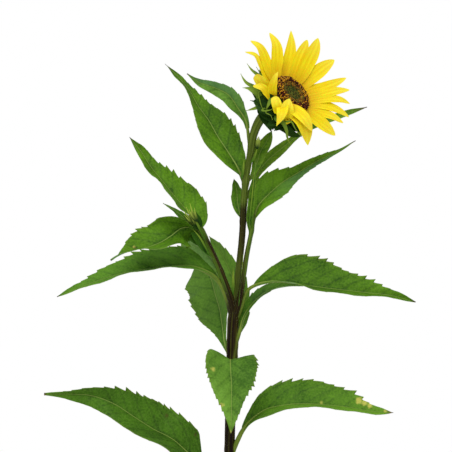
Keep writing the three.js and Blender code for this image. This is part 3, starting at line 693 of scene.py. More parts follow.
def tooth_depths(leaf, side, blade, blade_length, half, seed):
    """The depth that teeth have round each point, and how much of one stands out right there."""
    size = min(1, 2 * max(leaf["width"]) / FULL_WIDTH)
    count = max(round(blade_length / leaf.get("gap", TOOTH_SPACING)), LEAST_TEETH)
    phase = blade * count + 0.25 * np.sign(side) + 0.2 * np.sin(blade * 9 + seed)
    uneven = 0.6 + 0.4 * np.sin(np.floor(phase) * 7.3 + seed * 1.7 + np.sign(side))
    fade = smoothstep(0.04, 0.2, blade) * (1 - smoothstep(0.8, 0.97, blade))
    most = (np.minimum(TOOTH_DEPTH * size, DEEPEST_TOOTH * half) * fade
            * np.where(side > 0, *leaf.get("teeth", (1, 1))))
    return most, most * (phase % 1) ** TOOTH_SWEEP * uneven


def quilt_and_wave(leaf, side, blade, across, edge, vein, seed):
    """How far the blade swells between its side veins, and how far its margin waves."""
    size = min(1, 2 * max(leaf["width"]) / FULL_WIDTH)
    quilt = QUILT * size * (np.abs(np.sin(np.pi * vein)) ** 0.7
                            + 0.3 * np.abs(np.sin(3 * np.pi * vein)))
    quilt *= smoothstep(0, 6, across) * (1 - 0.5 * edge)
    wave = WAVE * size * side ** 2 * smoothstep(0.03, 0.3, blade) * (
        np.sin(2 * np.pi * (1.6 * blade + 0.37 * seed) + side)
        + 0.6 * np.sin(2 * np.pi * (4.1 * blade + 0.21 * seed) + 2 * side))
    return quilt, wave


def stalk_radii(leaf, share):
    """The radius of the stalk and midrib, which thins fast where the blade begins."""
    stalk, widest = leaf["stalk"], 2 * max(leaf["width"])
    radius = (leaf.get("thick", 1) * min(THICKEST_STALK, widest / 14 + 0.7)
              * (1 - 0.25 * smoothstep(0, stalk + 0.05, share)))
    radius *= (1 - 0.65 * smoothstep(stalk - 0.02, stalk + 0.25, share)
               - 0.27 * smoothstep(stalk, 1, share))
    return radius


def leaf_colouring(leaf, side, rod, share, blade, across, out, along, blade_length):
    """What the leaf's materials read at each point, besides the veins."""
    burnt = patches_on(leaf.get("burns", []), along, out)
    return dict(
        dry=np.maximum(smoothstep(1 - leaf.get("dry", 0.02), 1.0, blade), burnt),
        yellow=patches_on(leaf.get("spots", []), along, out),
        # The bluish half is a painted sheen.
        painted_sheen=((np.sign(side) == leaf.get("painted_sheen", 0)) * smoothstep(0, 2, across)
              * smoothstep(0.1, 0.6, blade)),
        # The leaf's own tone, with painted light: each half lighter or darker by how it faces the lamp,
        # and a leaf in shade made lighter.
        tone=(leaf.get("tone", 0) + leaf.get("tip", 0) * smoothstep(0.45, 0.95, blade)
              + np.where(side > 0, *leaf.get("lit_halves", (0, 0))) * smoothstep(0, 1, across)),
        rim=smoothstep(0.93, 1, np.abs(side)) * ~rod,
        pale=leaf.get("pale", 0.4) * smoothstep(leaf["stalk"], leaf["stalk"] + 0.1, share),
        foot=leaf.get("shade", 0.4) * (
            1 - smoothstep(12, 30, share * blade_length / (1 - leaf["stalk"]))))


# %% Bending a leaf
def leaf_mesh(leaf, pattern, seed):
    """One leaf with its stalk, bent from a blank. The seed sets where its teeth and waves fall."""
    flat, rod = points_of(pattern), values_of(pattern, "rod") > 0.5
    side, level = flat[:, 0], flat[:, 2]
    stalk = leaf["stalk"]
    line = smooth_line([at_height(LIMBS[leaf["limb"]]["path"], leaf["at"]), *leaf["rib"]])
    share = np.where(rod, (level + 0.5) * MIDRIB_END, stalk + (1 - stalk) * (flat[:, 1] + 1) / 2)
    blade = np.clip((share - stalk) / (1 - stalk), 0, 1)
    centre, heading, sideways, upward = rolled_midrib(leaf, line, share, blade)

    blade_length = np.linalg.norm(np.diff(line, axis=0), axis=1).sum() * (1 - stalk)
    slim = leaf.get("slim", 1)
    half = np.maximum(profile(leaf["width"], blade), LEAST_HALF_WIDTH)
    half *= np.where(side > 0, slim + (1 - slim) * smoothstep(0.05, 0.3, blade), 1)
    most, tooth = tooth_depths(leaf, side, blade, blade_length, half, seed)
    edge = np.abs(side) ** 6
    across = np.abs(side) * (half - 0.35 * most) + tooth * edge
    lobes = (np.where(side > 0, *leaf.get("lobe", (0, 0))) * side ** 2
             * smoothstep(0, 0.05, blade) * np.exp(-blade / 0.1))
    forward = 0.9 * tooth * edge - lobes

    along = blade * blade_length
    vein = (along - VEIN_SLOPE * across - VEIN_CURVE * across ** 2) / VEIN_SPACING + seed
    quilt, wave = quilt_and_wave(leaf, side, blade, across, edge, vein, seed)
    fold = math.radians(leaf["fold"])
    lifted = math.sin(fold) * (np.hypot(across, FOLD_ROUNDING) - FOLD_ROUNDING)
    rise = lifted - BOW * across * np.abs(side) + quilt + wave + level * BLADE_THICKNESS
    out = np.sign(side) * across * math.cos(fold)

    radius = stalk_radii(leaf, share)
    sunk = 0.65 * radius * smoothstep(stalk * 0.8, stalk * 1.4 + 0.02, share)
    out = np.where(rod, flat[:, 0] * radius, out)
    rise = np.where(rod, -flat[:, 1] * radius - sunk, rise)
    forward = np.where(rod, 0, forward)
    points = (centre + sideways * out[:, None] + upward * rise[:, None]
              + heading * forward[:, None])
    return bent(pattern, points, leaf["name"], vein=vein,
                rib=across / (VEIN_HALF_WIDTH * (1.6 - blade)),
                **leaf_colouring(leaf, side, rod, share, blade, across, out, along, blade_length))


# %% Make the leaves
NARROW = 9  # mm of half width
for number, leaf in enumerate(LEAVES, 1):
    pattern = narrow_blank if max(leaf["width"]) < NARROW else leaf_blank
    skins = [*LEAF_SKINS[leaf["tint"]], rib_skin]
    place_piece(leaf["name"] + "_blade", leaf_mesh(leaf, pattern, number), skins, "leaf", leaf["name"])

# %% [markdown]
# ## Finish and relief of the stem
# The skin is fibrous and streaked lengthwise, purple brown over olive. Streaks that were drawn in
# space would cut straight through a bent stem, so they are drawn on an attribute that the bending
# leaves on each point: the place round the stem and the height in millimetres.

# %% Stem material
# Cells across the stem's radius, and in each mm of its height, so a streak is about 50 mm long.
STREAKS = (3.2, 3.2, 0.02)


def stem_finish(name, low, high, ridge_green):
    """Fibrous skin streaked lengthwise, from its two low tones to its two high ones."""
    material, tree, shader = shader_of(name, 0.5, 0.08)
    lay = add(tree, "Attribute", attribute_name="lay")
    stretched = add(tree, "Mapping", {"Vector": lay.outputs["Vector"], "Scale": STREAKS})
    streaks = add(tree, "TexNoise", {"Vector": stretched.outputs[0], "Scale": 1.0, "Detail": 4.0})
    streak_share = add(tree, "MapRange", {0: streaks.outputs["Fac"], 1: 0.44, 2: 0.6})
    purple = add(tree, "Attribute", attribute_name="purple")
    ridge = add(tree, "Attribute", attribute_name="ridge")
    tones = [add(tree, "Mix", {0: streak_share.outputs[0], 6: linear(dark), 7: linear(light)},
                 data_type="RGBA") for dark, light in (high, low)]
    skin = add(tree, "Mix", {0: purple.outputs["Fac"], 6: tones[0].outputs[2], 7: tones[1].outputs[2]},
               data_type="RGBA")
    ridged = add(tree, "Mix", {0: ridge.outputs["Fac"], 6: skin.outputs[2], 7: linear(ridge_green)},
                 data_type="RGBA")
    tree.links.new(ridged.outputs[2], shader.inputs["Base Color"])
    bump = add(tree, "Bump", {"Height": streaks.outputs["Fac"], "Strength": 0.4, "Distance": 0.0004})
    tree.links.new(bump.outputs[0], shader.inputs["Normal"])
    return material


# A fibrous rind is matt, with fine lengthwise relief that breaks up the light along the stem.
PURPLE_TONES = ("#1a0e08", "#39320e")
main_skin = stem_finish("fibrous main stem rind", PURPLE_TONES, ("#4a5a1a", "#65762a"), "#5f6a22")
shoot_skin = stem_finish("fibrous side shoot rind", PURPLE_TONES, ("#3f5a18", "#5f7a26"), "#64802a")

# %% Relief of a limb
RIB_HEIGHT = 0.16  # mm
RIB_WANDER = 45  # mm of height over which the ribs sway
NODE_SWELLING = 0.4  # mm
NODE_REACH = 3.5  # mm up and down from the middle of a swelling
RIDGE_HEIGHT = 0.5  # mm
RIDGE_LENGTH = 75.0  # mm below a leaf's foot
RIDGE_WIDTH = 14.0  # degrees
STEEPEST = 2.7  # the steepest slope at which a leaf's foot is taken to leave the limb


def turned_apart(turn, azimuth):
    """Degrees from an azimuth to each point round a limb, from -180 to 180."""
    return (np.degrees(turn) - azimuth + 180) % 360 - 180


def limb_surface(name, share, turn):
    """Points on a limb's skin, the outward arrows there, and how much of a ridge each point is."""
    limb = LIMBS[name]
    centre, along = along_line(limb["path"], share)
    reference = np.array([1.0, 0, 0])
    first = unit(reference - along * np.sum(along * reference, axis=1, keepdims=True))
    second = np.cross(along, first)
    outward = first * np.cos(turn)[:, None] + second * np.sin(turn)[:, None]
    height = centre[:, 2]
    levels, radii = zip(*limb["radii"])
    radius = np.interp(height, levels, radii) + limb["flare"] * np.exp(-height / ROOT_FLARE_HEIGHT)
    radius += RIB_HEIGHT * np.cos(limb["ribs"] * turn + 0.6 * np.sin(height / RIB_WANDER))
    ridge = np.zeros(len(height))
    for leaf in LEAVES:
        if leaf["limb"] != name:
            continue
        step = np.array(leaf["rib"][0]) - at_height(limb["path"], leaf["at"])
        azimuth = math.degrees(math.atan2(step[1], step[0]))
        steepness = min(step[2] / math.hypot(step[0], step[1]), STEEPEST)
        exits = leaf["at"] + np.interp(leaf["at"], levels, radii) * steepness
        radius += NODE_SWELLING * np.exp(-((height - exits + 2) / NODE_REACH) ** 2)
        runs = (smoothstep(exits - RIDGE_LENGTH, exits - 8, height)
                * (1 - smoothstep(exits - 3, exits + 3, height)))
        near = np.exp(-(turned_apart(turn, azimuth) / RIDGE_WIDTH) ** 2)
        ridge = np.maximum(ridge, near * runs)
    if "band" in limb:
        levels, azimuths = zip(*limb["band"])
        runs = (smoothstep(levels[0], levels[0] + 15, height)
                * (1 - smoothstep(levels[-1] - 8, levels[-1], height)))
        winding = turned_apart(turn, np.interp(height, levels, azimuths))
        ridge = np.maximum(ridge, np.exp(-(winding / RIDGE_WIDTH) ** 2) * runs)
    radius += RIDGE_HEIGHT * ridge
    return centre + outward * radius[:, None], outward, ridge


# %% Bending a limb
def limb_mesh(name):
    """A limb's skin, bent from a rod, with what its material reads on each point."""
    limb = LIMBS[name]
    pattern = blank(limb["node"], rod=(limb["sides"], limb["steps"]))
    flat = points_of(pattern)
    turn = np.arctan2(flat[:, 1], flat[:, 0])
    points, _, ridge = limb_surface(name, flat[:, 2] + 0.5, turn)
    height = points[:, 2]
    azimuth, reach, strength = limb["green"]
    apart = np.abs(turned_apart(turn, azimuth))
    green = (strength * (1 - smoothstep(0.8 * reach, 1.2 * reach, apart))
             * smoothstep(*limb.get("green_from", (-1, 0)), height))
    purple = np.interp(height, *zip(*limb["purple"])) * (1 - green)
    lay = np.stack([np.cos(turn), np.sin(turn), height], axis=1)
    mesh = bent(pattern, points, limb["node"], lay=lay, ridge=ridge, purple=purple)
    bpy.data.meshes.remove(pattern)
    return mesh


for name, limb in LIMBS.items():
    skin = main_skin if name == "main" else shoot_skin
    place_piece(limb["node"] + "_skin", limb_mesh(name), [skin], "stem", limb["node"])

# %% [markdown]
# ## Copies of a small shape
# Hairs and florets are the same small shape many times over. One is made with an operator, and
# its points are then repeated at each place and along each arrow, in a single joined mesh.

# %% Repeating a small shape
UPRIGHT = 0.9  # rise of an arrow above which its side is worked out from X, not from Z


def copies(name, pattern, places, arrows, sizes, slots=None):
    """One mesh with a copy of a pattern at each place, its Z along each arrow."""
    points, faces = points_of(pattern), len(pattern.polygons)
    bm = bmesh.new()
    bm.from_mesh(pattern)
    made = 1
    while made < len(places):  # each round doubles what is there
        more = min(made, len(places) - made)
        shape = [*bm.verts[:more * len(points)], *bm.edges[:more * len(pattern.edges)],
                 *bm.faces[:more * faces]]
        bmesh.ops.duplicate(bm, geom=shape)
        made += more
        for items in (bm.verts, bm.edges, bm.faces):
            items.ensure_lookup_table()
    mesh = bpy.data.meshes.new(name)
    bm.to_mesh(mesh)
    bm.free()
    upright = np.abs(arrows[:, 2:]) > UPRIGHT
    side = unit(np.cross(arrows, np.where(upright, [[1.0, 0, 0]], [[0, 0, 1.0]])))
    axes = np.stack([side, np.cross(arrows, side), arrows], axis=1)
    spread = np.einsum("pi,nij->npj", points, axes) * sizes[:, None, None] + places[:, None, :]
    mesh.vertices.foreach_set("co", (spread * MM).astype(np.float32).ravel())
    if slots is not None:
        mesh.polygons.foreach_set("material_index", np.repeat(slots, faces).astype(np.int32))
    mesh.shade_smooth()
    mesh.update()
    return mesh


def small_cone(name, sides, foot, top, height):
    """A small cone or tube that stands on the origin."""
    bm = bmesh.new()
    bmesh.ops.create_cone(bm, cap_ends=True, segments=sides, radius1=foot, radius2=top, depth=height)
    bmesh.ops.translate(bm, vec=(0, 0, height / 2), verts=bm.verts[:])
    mesh = bpy.data.meshes.new(name)
    bm.to_mesh(mesh)
    bm.free()
    return mesh


# %% [markdown]
# ## Hairs
# The stem and the shoots are covered in short stiff hairs. They could be a hair system, but the
# model has to be plain meshes, so each hair is a thin three-sided cone on the skin, and all of them
# are one piece. They give the outline its soft look from every side.

# %% Hairs on the stem and shoots
HAIR_COUNTS = {"main": 2000, "left": 420, "right": 380}
HAIR_LENGTH = 1.3  # mm
# Dry white hair is translucent and a little shiny. On small joined cones a plain colour is enough.
hair_skin, tree, shader = shader_of("dry white plant hair", 0.6, 0.3)
shader.inputs["Base Color"].default_value = linear("#9a9c84")
rng = np.random.default_rng(7)
hair = small_cone("hair", 3, 0.05, 0.015, 1.0)
places, arrows = [], []
for name, count in HAIR_COUNTS.items():
    share = rng.uniform(0.01, 0.97, count)
    points, outward, _ = limb_surface(name, share, rng.uniform(0, 2 * np.pi, count))
    places.append(points)
    arrows.append(unit(outward + rng.normal(0, 0.35, outward.shape) + [0, 0, 0.15]))
places, arrows = np.vstack(places), np.vstack(arrows)
sizes = HAIR_LENGTH * rng.uniform(0.5, 1.3, len(places))
place_piece("stem_hairs", copies("stem_hairs", hair, places, arrows, sizes), [hair_skin], "stem")

# %% [markdown]
# ## Flower head
# The head faces up and to one side. Its parts are set out by an angle round its axis and a lift
# off its plane, as they grow, so one set of directions serves the petals, the florets and the
# bracts.

# %% Directions on the head
HEAD_CENTRE = np.array([66.5, -24, 598])  # mm
HEAD_AXIS = unit(np.array([0.607, -0.588, 0.534]))
HEAD_START = np.array([0.66, 0, -0.75])  # in the head's plane; angles start there
HEAD_SIDE = unit(np.cross(HEAD_AXIS, HEAD_START))
DISC_RADIUS = 22.4  # mm
RING_STEP = 4  # degrees between the places on a ring that a foot may take


def head_direction(angle, lift):
    """The way out from the head's axis at an angle, lifted off its plane."""
    turn, rise = np.radians(angle), np.radians(lift)
    level = np.cos(rise)
    return (np.multiply.outer(np.cos(turn) * level, HEAD_START)
            + np.multiply.outer(np.sin(turn) * level, HEAD_SIDE)
            + np.multiply.outer(np.sin(rise), HEAD_AXIS))


def head_point(angle, radius, height):
    """A place at an angle round the head's axis, a radius from it and a height along it."""
    return (HEAD_CENTRE + head_direction(angle, 0) * np.expand_dims(radius, -1)
            + np.multiply.outer(height, HEAD_AXIS))


def strap_line(foot, angle, lift, length):
    """A line in three equal steps out from the head's axis, whose lift changes evenly."""
    points = [foot]
    for slope in (lift[0], (lift[0] + lift[1]) / 2, lift[1]):
        points.append(points[-1] + head_direction(angle, slope) * length / 3)
    return smooth_line(points)


def seated(points, radius, height):
    """A line led back from its first point to the nearest place on a ring about the head's axis."""
    ring = head_point(np.arange(0, 360, RING_STEP), radius, height)
    nearest = ring[np.argmin(np.linalg.norm(ring - points[0], axis=1))]
    return smooth_line([nearest, *points], 8)


# %% [markdown]
# ## Straps
# A petal, a bract, a bud scale and a small leaf are all narrow boards that differ in width, in
# where they are widest and in how they are folded. One function bends all of them.

# %% Shape of a strap
LEAST_STRAP = 0.25  # mm of half width, so that a tip stays a closed shape


def outline(share, widest, base_power, tip_power):
    """Share of the full width at a share of a strap's length."""
    rising = np.sin(np.pi / 2 * np.clip(share / widest, 0, 1)) ** base_power
    falling = np.cos(np.pi / 2 * np.clip((share - widest) / (1 - widest), 0, 1)) ** tip_power
    return np.where(share < widest, rising, falling)


def strap_mesh(name, line, width, faces, widest, powers, thickness, groove, channel, fold=0):
    """A strap bent along a line. Channel and fold raise its margins, in a curve and in a crease."""
    flat = points_of(strap_blank)
    side, share, level = flat[:, 0], (flat[:, 1] + 1) / 2, flat[:, 2]
    centre, heading = along_line(line, share)
    upward = unit(faces - heading * (heading @ faces)[:, None])
    half = np.maximum(width / 2 * outline(share, widest, *powers), LEAST_STRAP)
    out = side * half
    rise = (level * thickness - groove * np.cos(3 * np.pi * side) * np.minimum(half / 4, 1)
            + channel * half * side ** 2 + math.sin(math.radians(fold)) * np.abs(out))
    points = centre + np.cross(heading, upward) * out[:, None] + upward * rise[:, None]
    along = share * np.linalg.norm(np.diff(line, axis=0), axis=1).sum()
    return bent(strap_blank, points, name, lay=np.stack([out, along, share], axis=1))


# %% [markdown]
# ## Petals
# Each ray is a strap with two shallow lengthwise grooves. Its yellow is drawn over the strap's own
# width and length, so that the fine lines follow the petal where it curls.

# %% Petal material
# Petal skin is thin and velvety: light goes through it and scatters, and it has a soft low shine. Fine
# lengthwise lines are about 2 mm apart and the tip is pale. The foot is golden: partly the petal's own
# deeper yellow, partly painted shade where the feet crowd together under the disc's rim.
PETAL_LINES = (0.45, 0.02, 1.0)  # lines to a mm across and along, so 50 mm long
petal_skin, tree, shader = shader_of("velvety ray petal", 0.5, 0.12)
shader.inputs["Subsurface Weight"].default_value = 0.2
shader.inputs["Subsurface Scale"].default_value = 0.002
lay = add(tree, "Attribute", attribute_name="lay")
split = add(tree, "SeparateXYZ", {0: lay.outputs["Vector"]})
stretched = add(tree, "Mapping", {"Vector": lay.outputs["Vector"], "Scale": PETAL_LINES})
lines = add(tree, "TexNoise", {"Vector": stretched.outputs[0], "Scale": 1.0, "Detail": 1.5})
line_share = add(tree, "MapRange", {0: lines.outputs["Fac"], 1: 0.35, 2: 0.65})
yellow = add(tree, "Mix", {0: line_share.outputs[0], 6: linear("#e6c402"), 7: linear("#f3db14")},
             data_type="RGBA")
# The petal's own gold with painted shade: the foot turns a deeper golden.
gold_and_shade_share = add(tree, "MapRange", {0: split.outputs["Z"], 1: 0.42, 2: 0.0, 4: 0.8})
gold_and_shade = add(tree, "Mix", {0: gold_and_shade_share.outputs[0], 6: yellow.outputs[2], 7: linear("#d09600")},
             data_type="RGBA")
tip_share = add(tree, "MapRange", {0: split.outputs["Z"], 1: 0.55, 2: 1.0, 4: 0.4})
tipped = add(tree, "Mix", {0: tip_share.outputs[0], 6: gold_and_shade.outputs[2], 7: linear("#f4ea5a")},
             data_type="RGBA")
tree.links.new(tipped.outputs[2], shader.inputs["Base Color"])
bump = add(tree, "Bump", {"Height": lines.outputs["Fac"], "Strength": 0.15, "Distance": 0.0004})
tree.links.new(bump.outputs[0], shader.inputs["Normal"])
print("petal lines", round(1 / PETAL_LINES[0], 1), "mm apart")

# %% Rays
# Width, share of the length where it is widest, azimuth and elevation that its inner side faces, how
# full its foot and tip are (less is fuller), and its line from foot to tip. The last nine stand on
# the near side of the disc, where most of them curl or hang.
RAYS = [
    (15, 0.5, (-78, 20), (0.35, 0.65),
     [(78, -22, 581), (85, -23, 578), (93, -23, 573), (104, -23, 564), (115, -22, 554)]),
    (11, 0.5, (-62, 25), (0.35, 0.65),
     [(80, -18, 583), (89, -17, 582), (101, -16, 579), (113, -15, 575), (124, -15, 568)]),
    (11, 0.5, (-62, 25), (0.35, 0.65),
     [(81, -15, 586), (92, -13, 588), (106, -11, 587), (120, -9, 582), (131, -6, 575)]),
    (10, 0.5, (-62, 25), (0.35, 0.65),
     [(83, -12, 590), (94, -10, 593), (108, -8, 595), (122, -6, 594), (132, -3, 590)]),
    (11, 0.5, (-62, 25), (0.35, 0.65),
     [(82, -9, 596), (93, -7, 598), (106, -5, 601), (119, -3, 604), (132, -1, 605)]),
    (12, 0.45, (-62, 25), (0.35, 0.65),
     [(79, -7, 600), (91, -3, 605), (103, 1, 608), (116, 5, 613), (129, 9, 619)]),
    (16, 0.55, (-62, 25), (0.35, 0.65),
     [(76, -5, 605), (85, -2, 614), (95, 2, 623), (106, 6, 632), (116, 10, 639)]),
    (16, 0.6, (-62, 25), (0.35, 0.65),
     [(72, -6, 609), (80, -3, 622), (87, 1, 636), (94, 5, 651), (98, 9, 663)]),
    (13, 0.6, (-62, 25), (0.35, 0.6),
     [(66, -8, 613), (72, -4, 627), (77, 0, 640), (82, 4, 651), (86, 8, 661)]),
    (14.5, 0.42, (-62, 25), (0.35, 0.8),
     [(58, -12, 615), (62, -7, 629), (66, -3, 641), (68, 2, 655), (68, 7, 671)]),
    (14.5, 0.5, (-62, 25), (0.35, 0.65),
     [(53, -20, 612), (51, -18, 627), (52, -16, 640), (51, -13, 654), (44, -9, 667)]),
    (13, 0.5, (-62, 25), (0.35, 0.65),
     [(49, -24, 610), (43, -23, 624), (39, -22, 637), (33, -22, 650), (23, -22, 657)]),
    (8.5, 0.4, (-62, 25), (0.35, 0.65),
     [(46, -28, 603), (40, -26, 617), (34, -26, 631), (28, -27, 641), (17, -31, 644)]),
    (11.5, 0.7, (-110, 15), (0.4, 0.3),
     [(48, -38, 596), (40, -43, 603), (33, -47, 611), (27, -49, 617)]),
    (11, 0.5, (-95, 30), (0.4, 0.55),
     [(47, -41, 592), (40, -49, 599), (34, -54, 604), (25, -56, 605)]),
    (10, 0.4, (-80, 5), (0.2, 0.8),
     [(47, -43, 593), (46, -48, 604), (49, -50, 615), (52, -48, 621)]),
    (11, 0.68, (-92, 15), (0.5, 0.35),
     [(53, -50, 579), (51, -54, 584), (49, -53, 590), (47, -50, 594)]),
    (15.5, 0.6, (-80, 15), (0.4, 0.7),
     [(60, -50, 570), (61, -54, 577), (62, -54, 584), (64, -50, 592)]),
    (13, 0.4, (-100, 0), (0.45, 1),
     [(57, -52, 584), (56, -59, 577), (54, -61, 571), (50, -60, 562)]),
    (8, 0.45, (-85, 15), (0.4, 0.7),
     [(63, -44, 582), (64, -49, 578), (64, -50, 573), (64, -49, 569)]),
    (17, 0.5, (-80, 20), (0.2, 0.8),
     [(62, -42, 581), (70, -49, 576), (78, -53, 568), (82, -53, 558), (84, -50, 542)]),
]
FIRST_NEAR = 13  # from here on a ray's line is led back to the ring under the disc's rim
PETAL_RING = (DISC_RADIUS - 1, -1.5)  # radius and height
RAY_THICKNESS = 0.35  # mm
GROOVE = 0.07  # mm
CHANNEL = 0.07  # share of the half width that the margins rise
UPPER_PETAL = [(64, -46, 583), (74, -53, 577), (82, -57, 568), (88, -56, 557)]

for number, (width, widest, looks, powers, points) in enumerate(RAYS, 1):
    name = f"ray_{number:02d}"
    line = smooth_line(points, 8) if number < FIRST_NEAR else seated(points, *PETAL_RING)
    mesh = strap_mesh(name, line, width, direction(*looks), widest, powers, RAY_THICKNESS, GROOVE,
                      CHANNEL)
    place_piece(f"petal_{number:02d}", mesh, [petal_skin, petal_skin], "petal", name)

# A shorter petal lies on the lowest one.
mesh = strap_mesh("petal_upper", seated(UPPER_PETAL, *PETAL_RING), 14, direction(-80, 20), 0.5,
                  (0.3, 0.7), RAY_THICKNESS, GROOVE, CHANNEL)
place_piece("petal_upper", mesh, [petal_skin, petal_skin], "petal")

# %% [markdown]
# ## Disc
# The disc is a shallow dome packed with small tubes: open and dark at the rim, in bud further in and
# green in the middle. They stand on a spiral that turns by the golden angle from one to the next,
# which is how they grow, so a formula sets them out. The bed under them is turned like a bowl.

# %% Disc bed
# Radius and height of each corner, from the middle of the top round to the middle of the bottom.
DISC_PROFILE = [(0, 3.2), (9, 3.6), (15.7, 4.4), (20.2, 3.0), (22.4, 0.0), (22.4, -3.6), (0, -3.6)]
TOP_CORNERS = 5


def spun(name, profile, steps=48):
    """A closed shape turned about the head's axis from a profile of radii and heights."""
    bm = bmesh.new()
    verts = [bm.verts.new((radius, 0, height)) for radius, height in profile]
    edges = [bm.edges.new(pair) for pair in zip(verts, verts[1:])]
    bmesh.ops.spin(bm, geom=[*verts, *edges], cent=(0, 0, 0), axis=(0, 0, 1), angle=2 * math.pi,
                   steps=steps, use_merge=True)
    bmesh.ops.remove_doubles(bm, verts=bm.verts[:], dist=1e-4)
    bmesh.ops.recalc_face_normals(bm, faces=bm.faces[:])
    mesh = bpy.data.meshes.new(name)
    bm.to_mesh(mesh)
    bm.free()
    axes = np.stack([HEAD_START / np.linalg.norm(HEAD_START), HEAD_SIDE, HEAD_AXIS])
    placed = HEAD_CENTRE + points_of(mesh) @ axes
    mesh.vertices.foreach_set("co", (placed * MM).astype(np.float32).ravel())
    mesh.shade_smooth()
    mesh.update()
    return mesh


# Spongy pith, nearly hidden: it only has to look dark and dull between the florets.
bed_skin, tree, shader = shader_of("spongy disc bed", 0.8, 0.2)
shader.inputs["Base Color"].default_value = linear("#2a2a10")
place_piece("disc_bed", spun("disc_bed", DISC_PROFILE), [bed_skin], "florets", "disc")

# %% Florets
FLORET_COUNT = 1000
GOLDEN_ANGLE = 137.50776  # degrees
FLORET_SIDES = 8
RIM_MARGIN = 0.6  # mm from the outermost florets to the disc's rim
FLORET_SUNK = 0.6  # mm
LEAN_AT = ([0, 0.7, 1], [0, 6, 38])  # degrees outwards at some shares of the radius
NEAR_SIDE = np.array([-0.5, -0.8, -0.3])
NEAR_SHARE = 0.25  # of the florets on the near side, outside the centre, take the last colour
LAST_TONE = 3  # place of the last colour in a kind's list
FLORET_KINDS = {
    # name: share of the radius from and to, foot and mouth radius, height, colours
    "florets_centre": (0.0, 0.44, 0.62, 0.3, 1.5, ("#44521a", "#5d681c", "#323b0c", "#74681c")),
    "florets_budding": (0.44, 0.7, 0.6, 0.5, 2.2, ("#7c5010", "#4a2208", "#9a7418", "#5f5e1c")),
    "florets_open": (0.7, 1.0, 0.5, 0.62, 3.2, ("#3e0e04", "#2c0a04", "#642608", "#c8901a")),
}
for kind, (low, high, foot, mouth, tall, colours) in FLORET_KINDS.items():
    index = np.arange(FLORET_COUNT) + 0.5
    reach = np.sqrt(index / FLORET_COUNT)
    kept = (reach >= low) & (reach < high)
    count = kept.sum()
    angle, radius = (index * GOLDEN_ANGLE)[kept], reach[kept] * (DISC_RADIUS - RIM_MARGIN)
    outward = head_direction(angle, 0)
    bed = np.interp(radius, *zip(*DISC_PROFILE[:TOP_CORNERS]))
    lean = np.radians(np.interp(reach[kept], *LEAN_AT))[:, None]
    arrows = unit(HEAD_AXIS * np.cos(lean) + outward * np.sin(lean) + rng.normal(0, 0.08, (count, 3)))
    # A floret is fleshy and dull. Four tones, dealt out at random, keep a kind from looking even.
    skins = []
    for tone, colour in enumerate(colours, 1):
        material, tree, shader = shader_of(f"fleshy {kind} {tone}", 0.6, 0.15)
        shader.inputs["Base Color"].default_value = linear(colour)
        skins.append(material)
    tones = rng.integers(0, len(colours), count)
    chosen = (outward @ NEAR_SIDE > 0.3) & (rng.uniform(size=count) < NEAR_SHARE)
    tones = np.where(chosen & (low > 0), LAST_TONE, tones)
    mesh = copies(kind, small_cone(kind, FLORET_SIDES, foot, mouth, tall),
                  head_point(angle, radius, bed - FLORET_SUNK), arrows,
                  rng.uniform(0.8, 1.15, count), tones)
    place_piece(kind, mesh, skins, "florets")

# %% [markdown]
# ## Cup and bracts
# Behind the rays is a green cup that the stem runs into, covered by pointed, hairy bracts. Short ones
# lie along it all round, and longer ones spread behind the rays. On the near side each bract has a
# line of its own, because that is where they are seen, with thin pale ones outermost. On the far
# side a row of angles and slopes is enough. They are straps with a keel and no grooves.

# %% Bract materials
BRACT_MOTTLE = 120.0  # cells in a metre


def bract_finish(name, dark, light, tip):
    """Skin of a bract or small leaf, mottled over some 8 mm and changing towards its tip."""
    material, tree, shader = shader_of(name, 0.6, 0.08)
    lay = add(tree, "Attribute", attribute_name="lay")
    split = add(tree, "SeparateXYZ", {0: lay.outputs["Vector"]})
    place = add(tree, "TexCoord").outputs["Object"]
    patches = add(tree, "TexNoise", {"Vector": place, "Scale": BRACT_MOTTLE, "Detail": 3.0})
    green = add(tree, "Mix", {0: patches.outputs["Fac"], 6: linear(dark), 7: linear(light)},
                data_type="RGBA")
    tip_share = add(tree, "MapRange", {0: split.outputs["Z"], 1: 0.2, 2: 0.9, 4: 0.8})
    greener = add(tree, "Mix", {0: tip_share.outputs[0], 6: green.outputs[2], 7: linear(tip)},
                  data_type="RGBA")
    tree.links.new(greener.outputs[2], shader.inputs["Base Color"])
    return material


# Short hairs on a bract make it matt, with no shine. Its green is made much darker than a bract's own:
# painted shade, as the cup and its bracts lie under the head. The thin ones are paler, and yellowish at
# their tips.
shaded_bract_skin = bract_finish("downy green bract in painted shade", "#0a1b04", "#143009", "#2c4e12")
pale_bract_skin = bract_finish("thin pale bract", "#2c5411", "#527c22", "#8a9f34")
print(len(bpy.data.materials), "materials so far")

# %% Cup
# Radius and height of each corner, from the middle of the bottom round to the middle of the hollow.
CUP_PROFILE = [(0, -26), (5.5, -26), (12.6, -18.7), (21.4, -10.4), (25.0, -1.2), (23.0, -1.2),
               (22.7, -4.4), (0, -4.4)]
cup_mesh = spun("cup", CUP_PROFILE)
cup_mesh.attributes.new("lay", "FLOAT_VECTOR", "POINT")  # all 0, so the cup has no paler tip
# The cup takes the bracts' dark skin, painted shade under the head.
place_piece("cup", cup_mesh, [shaded_bract_skin], "bracts", "involucre")

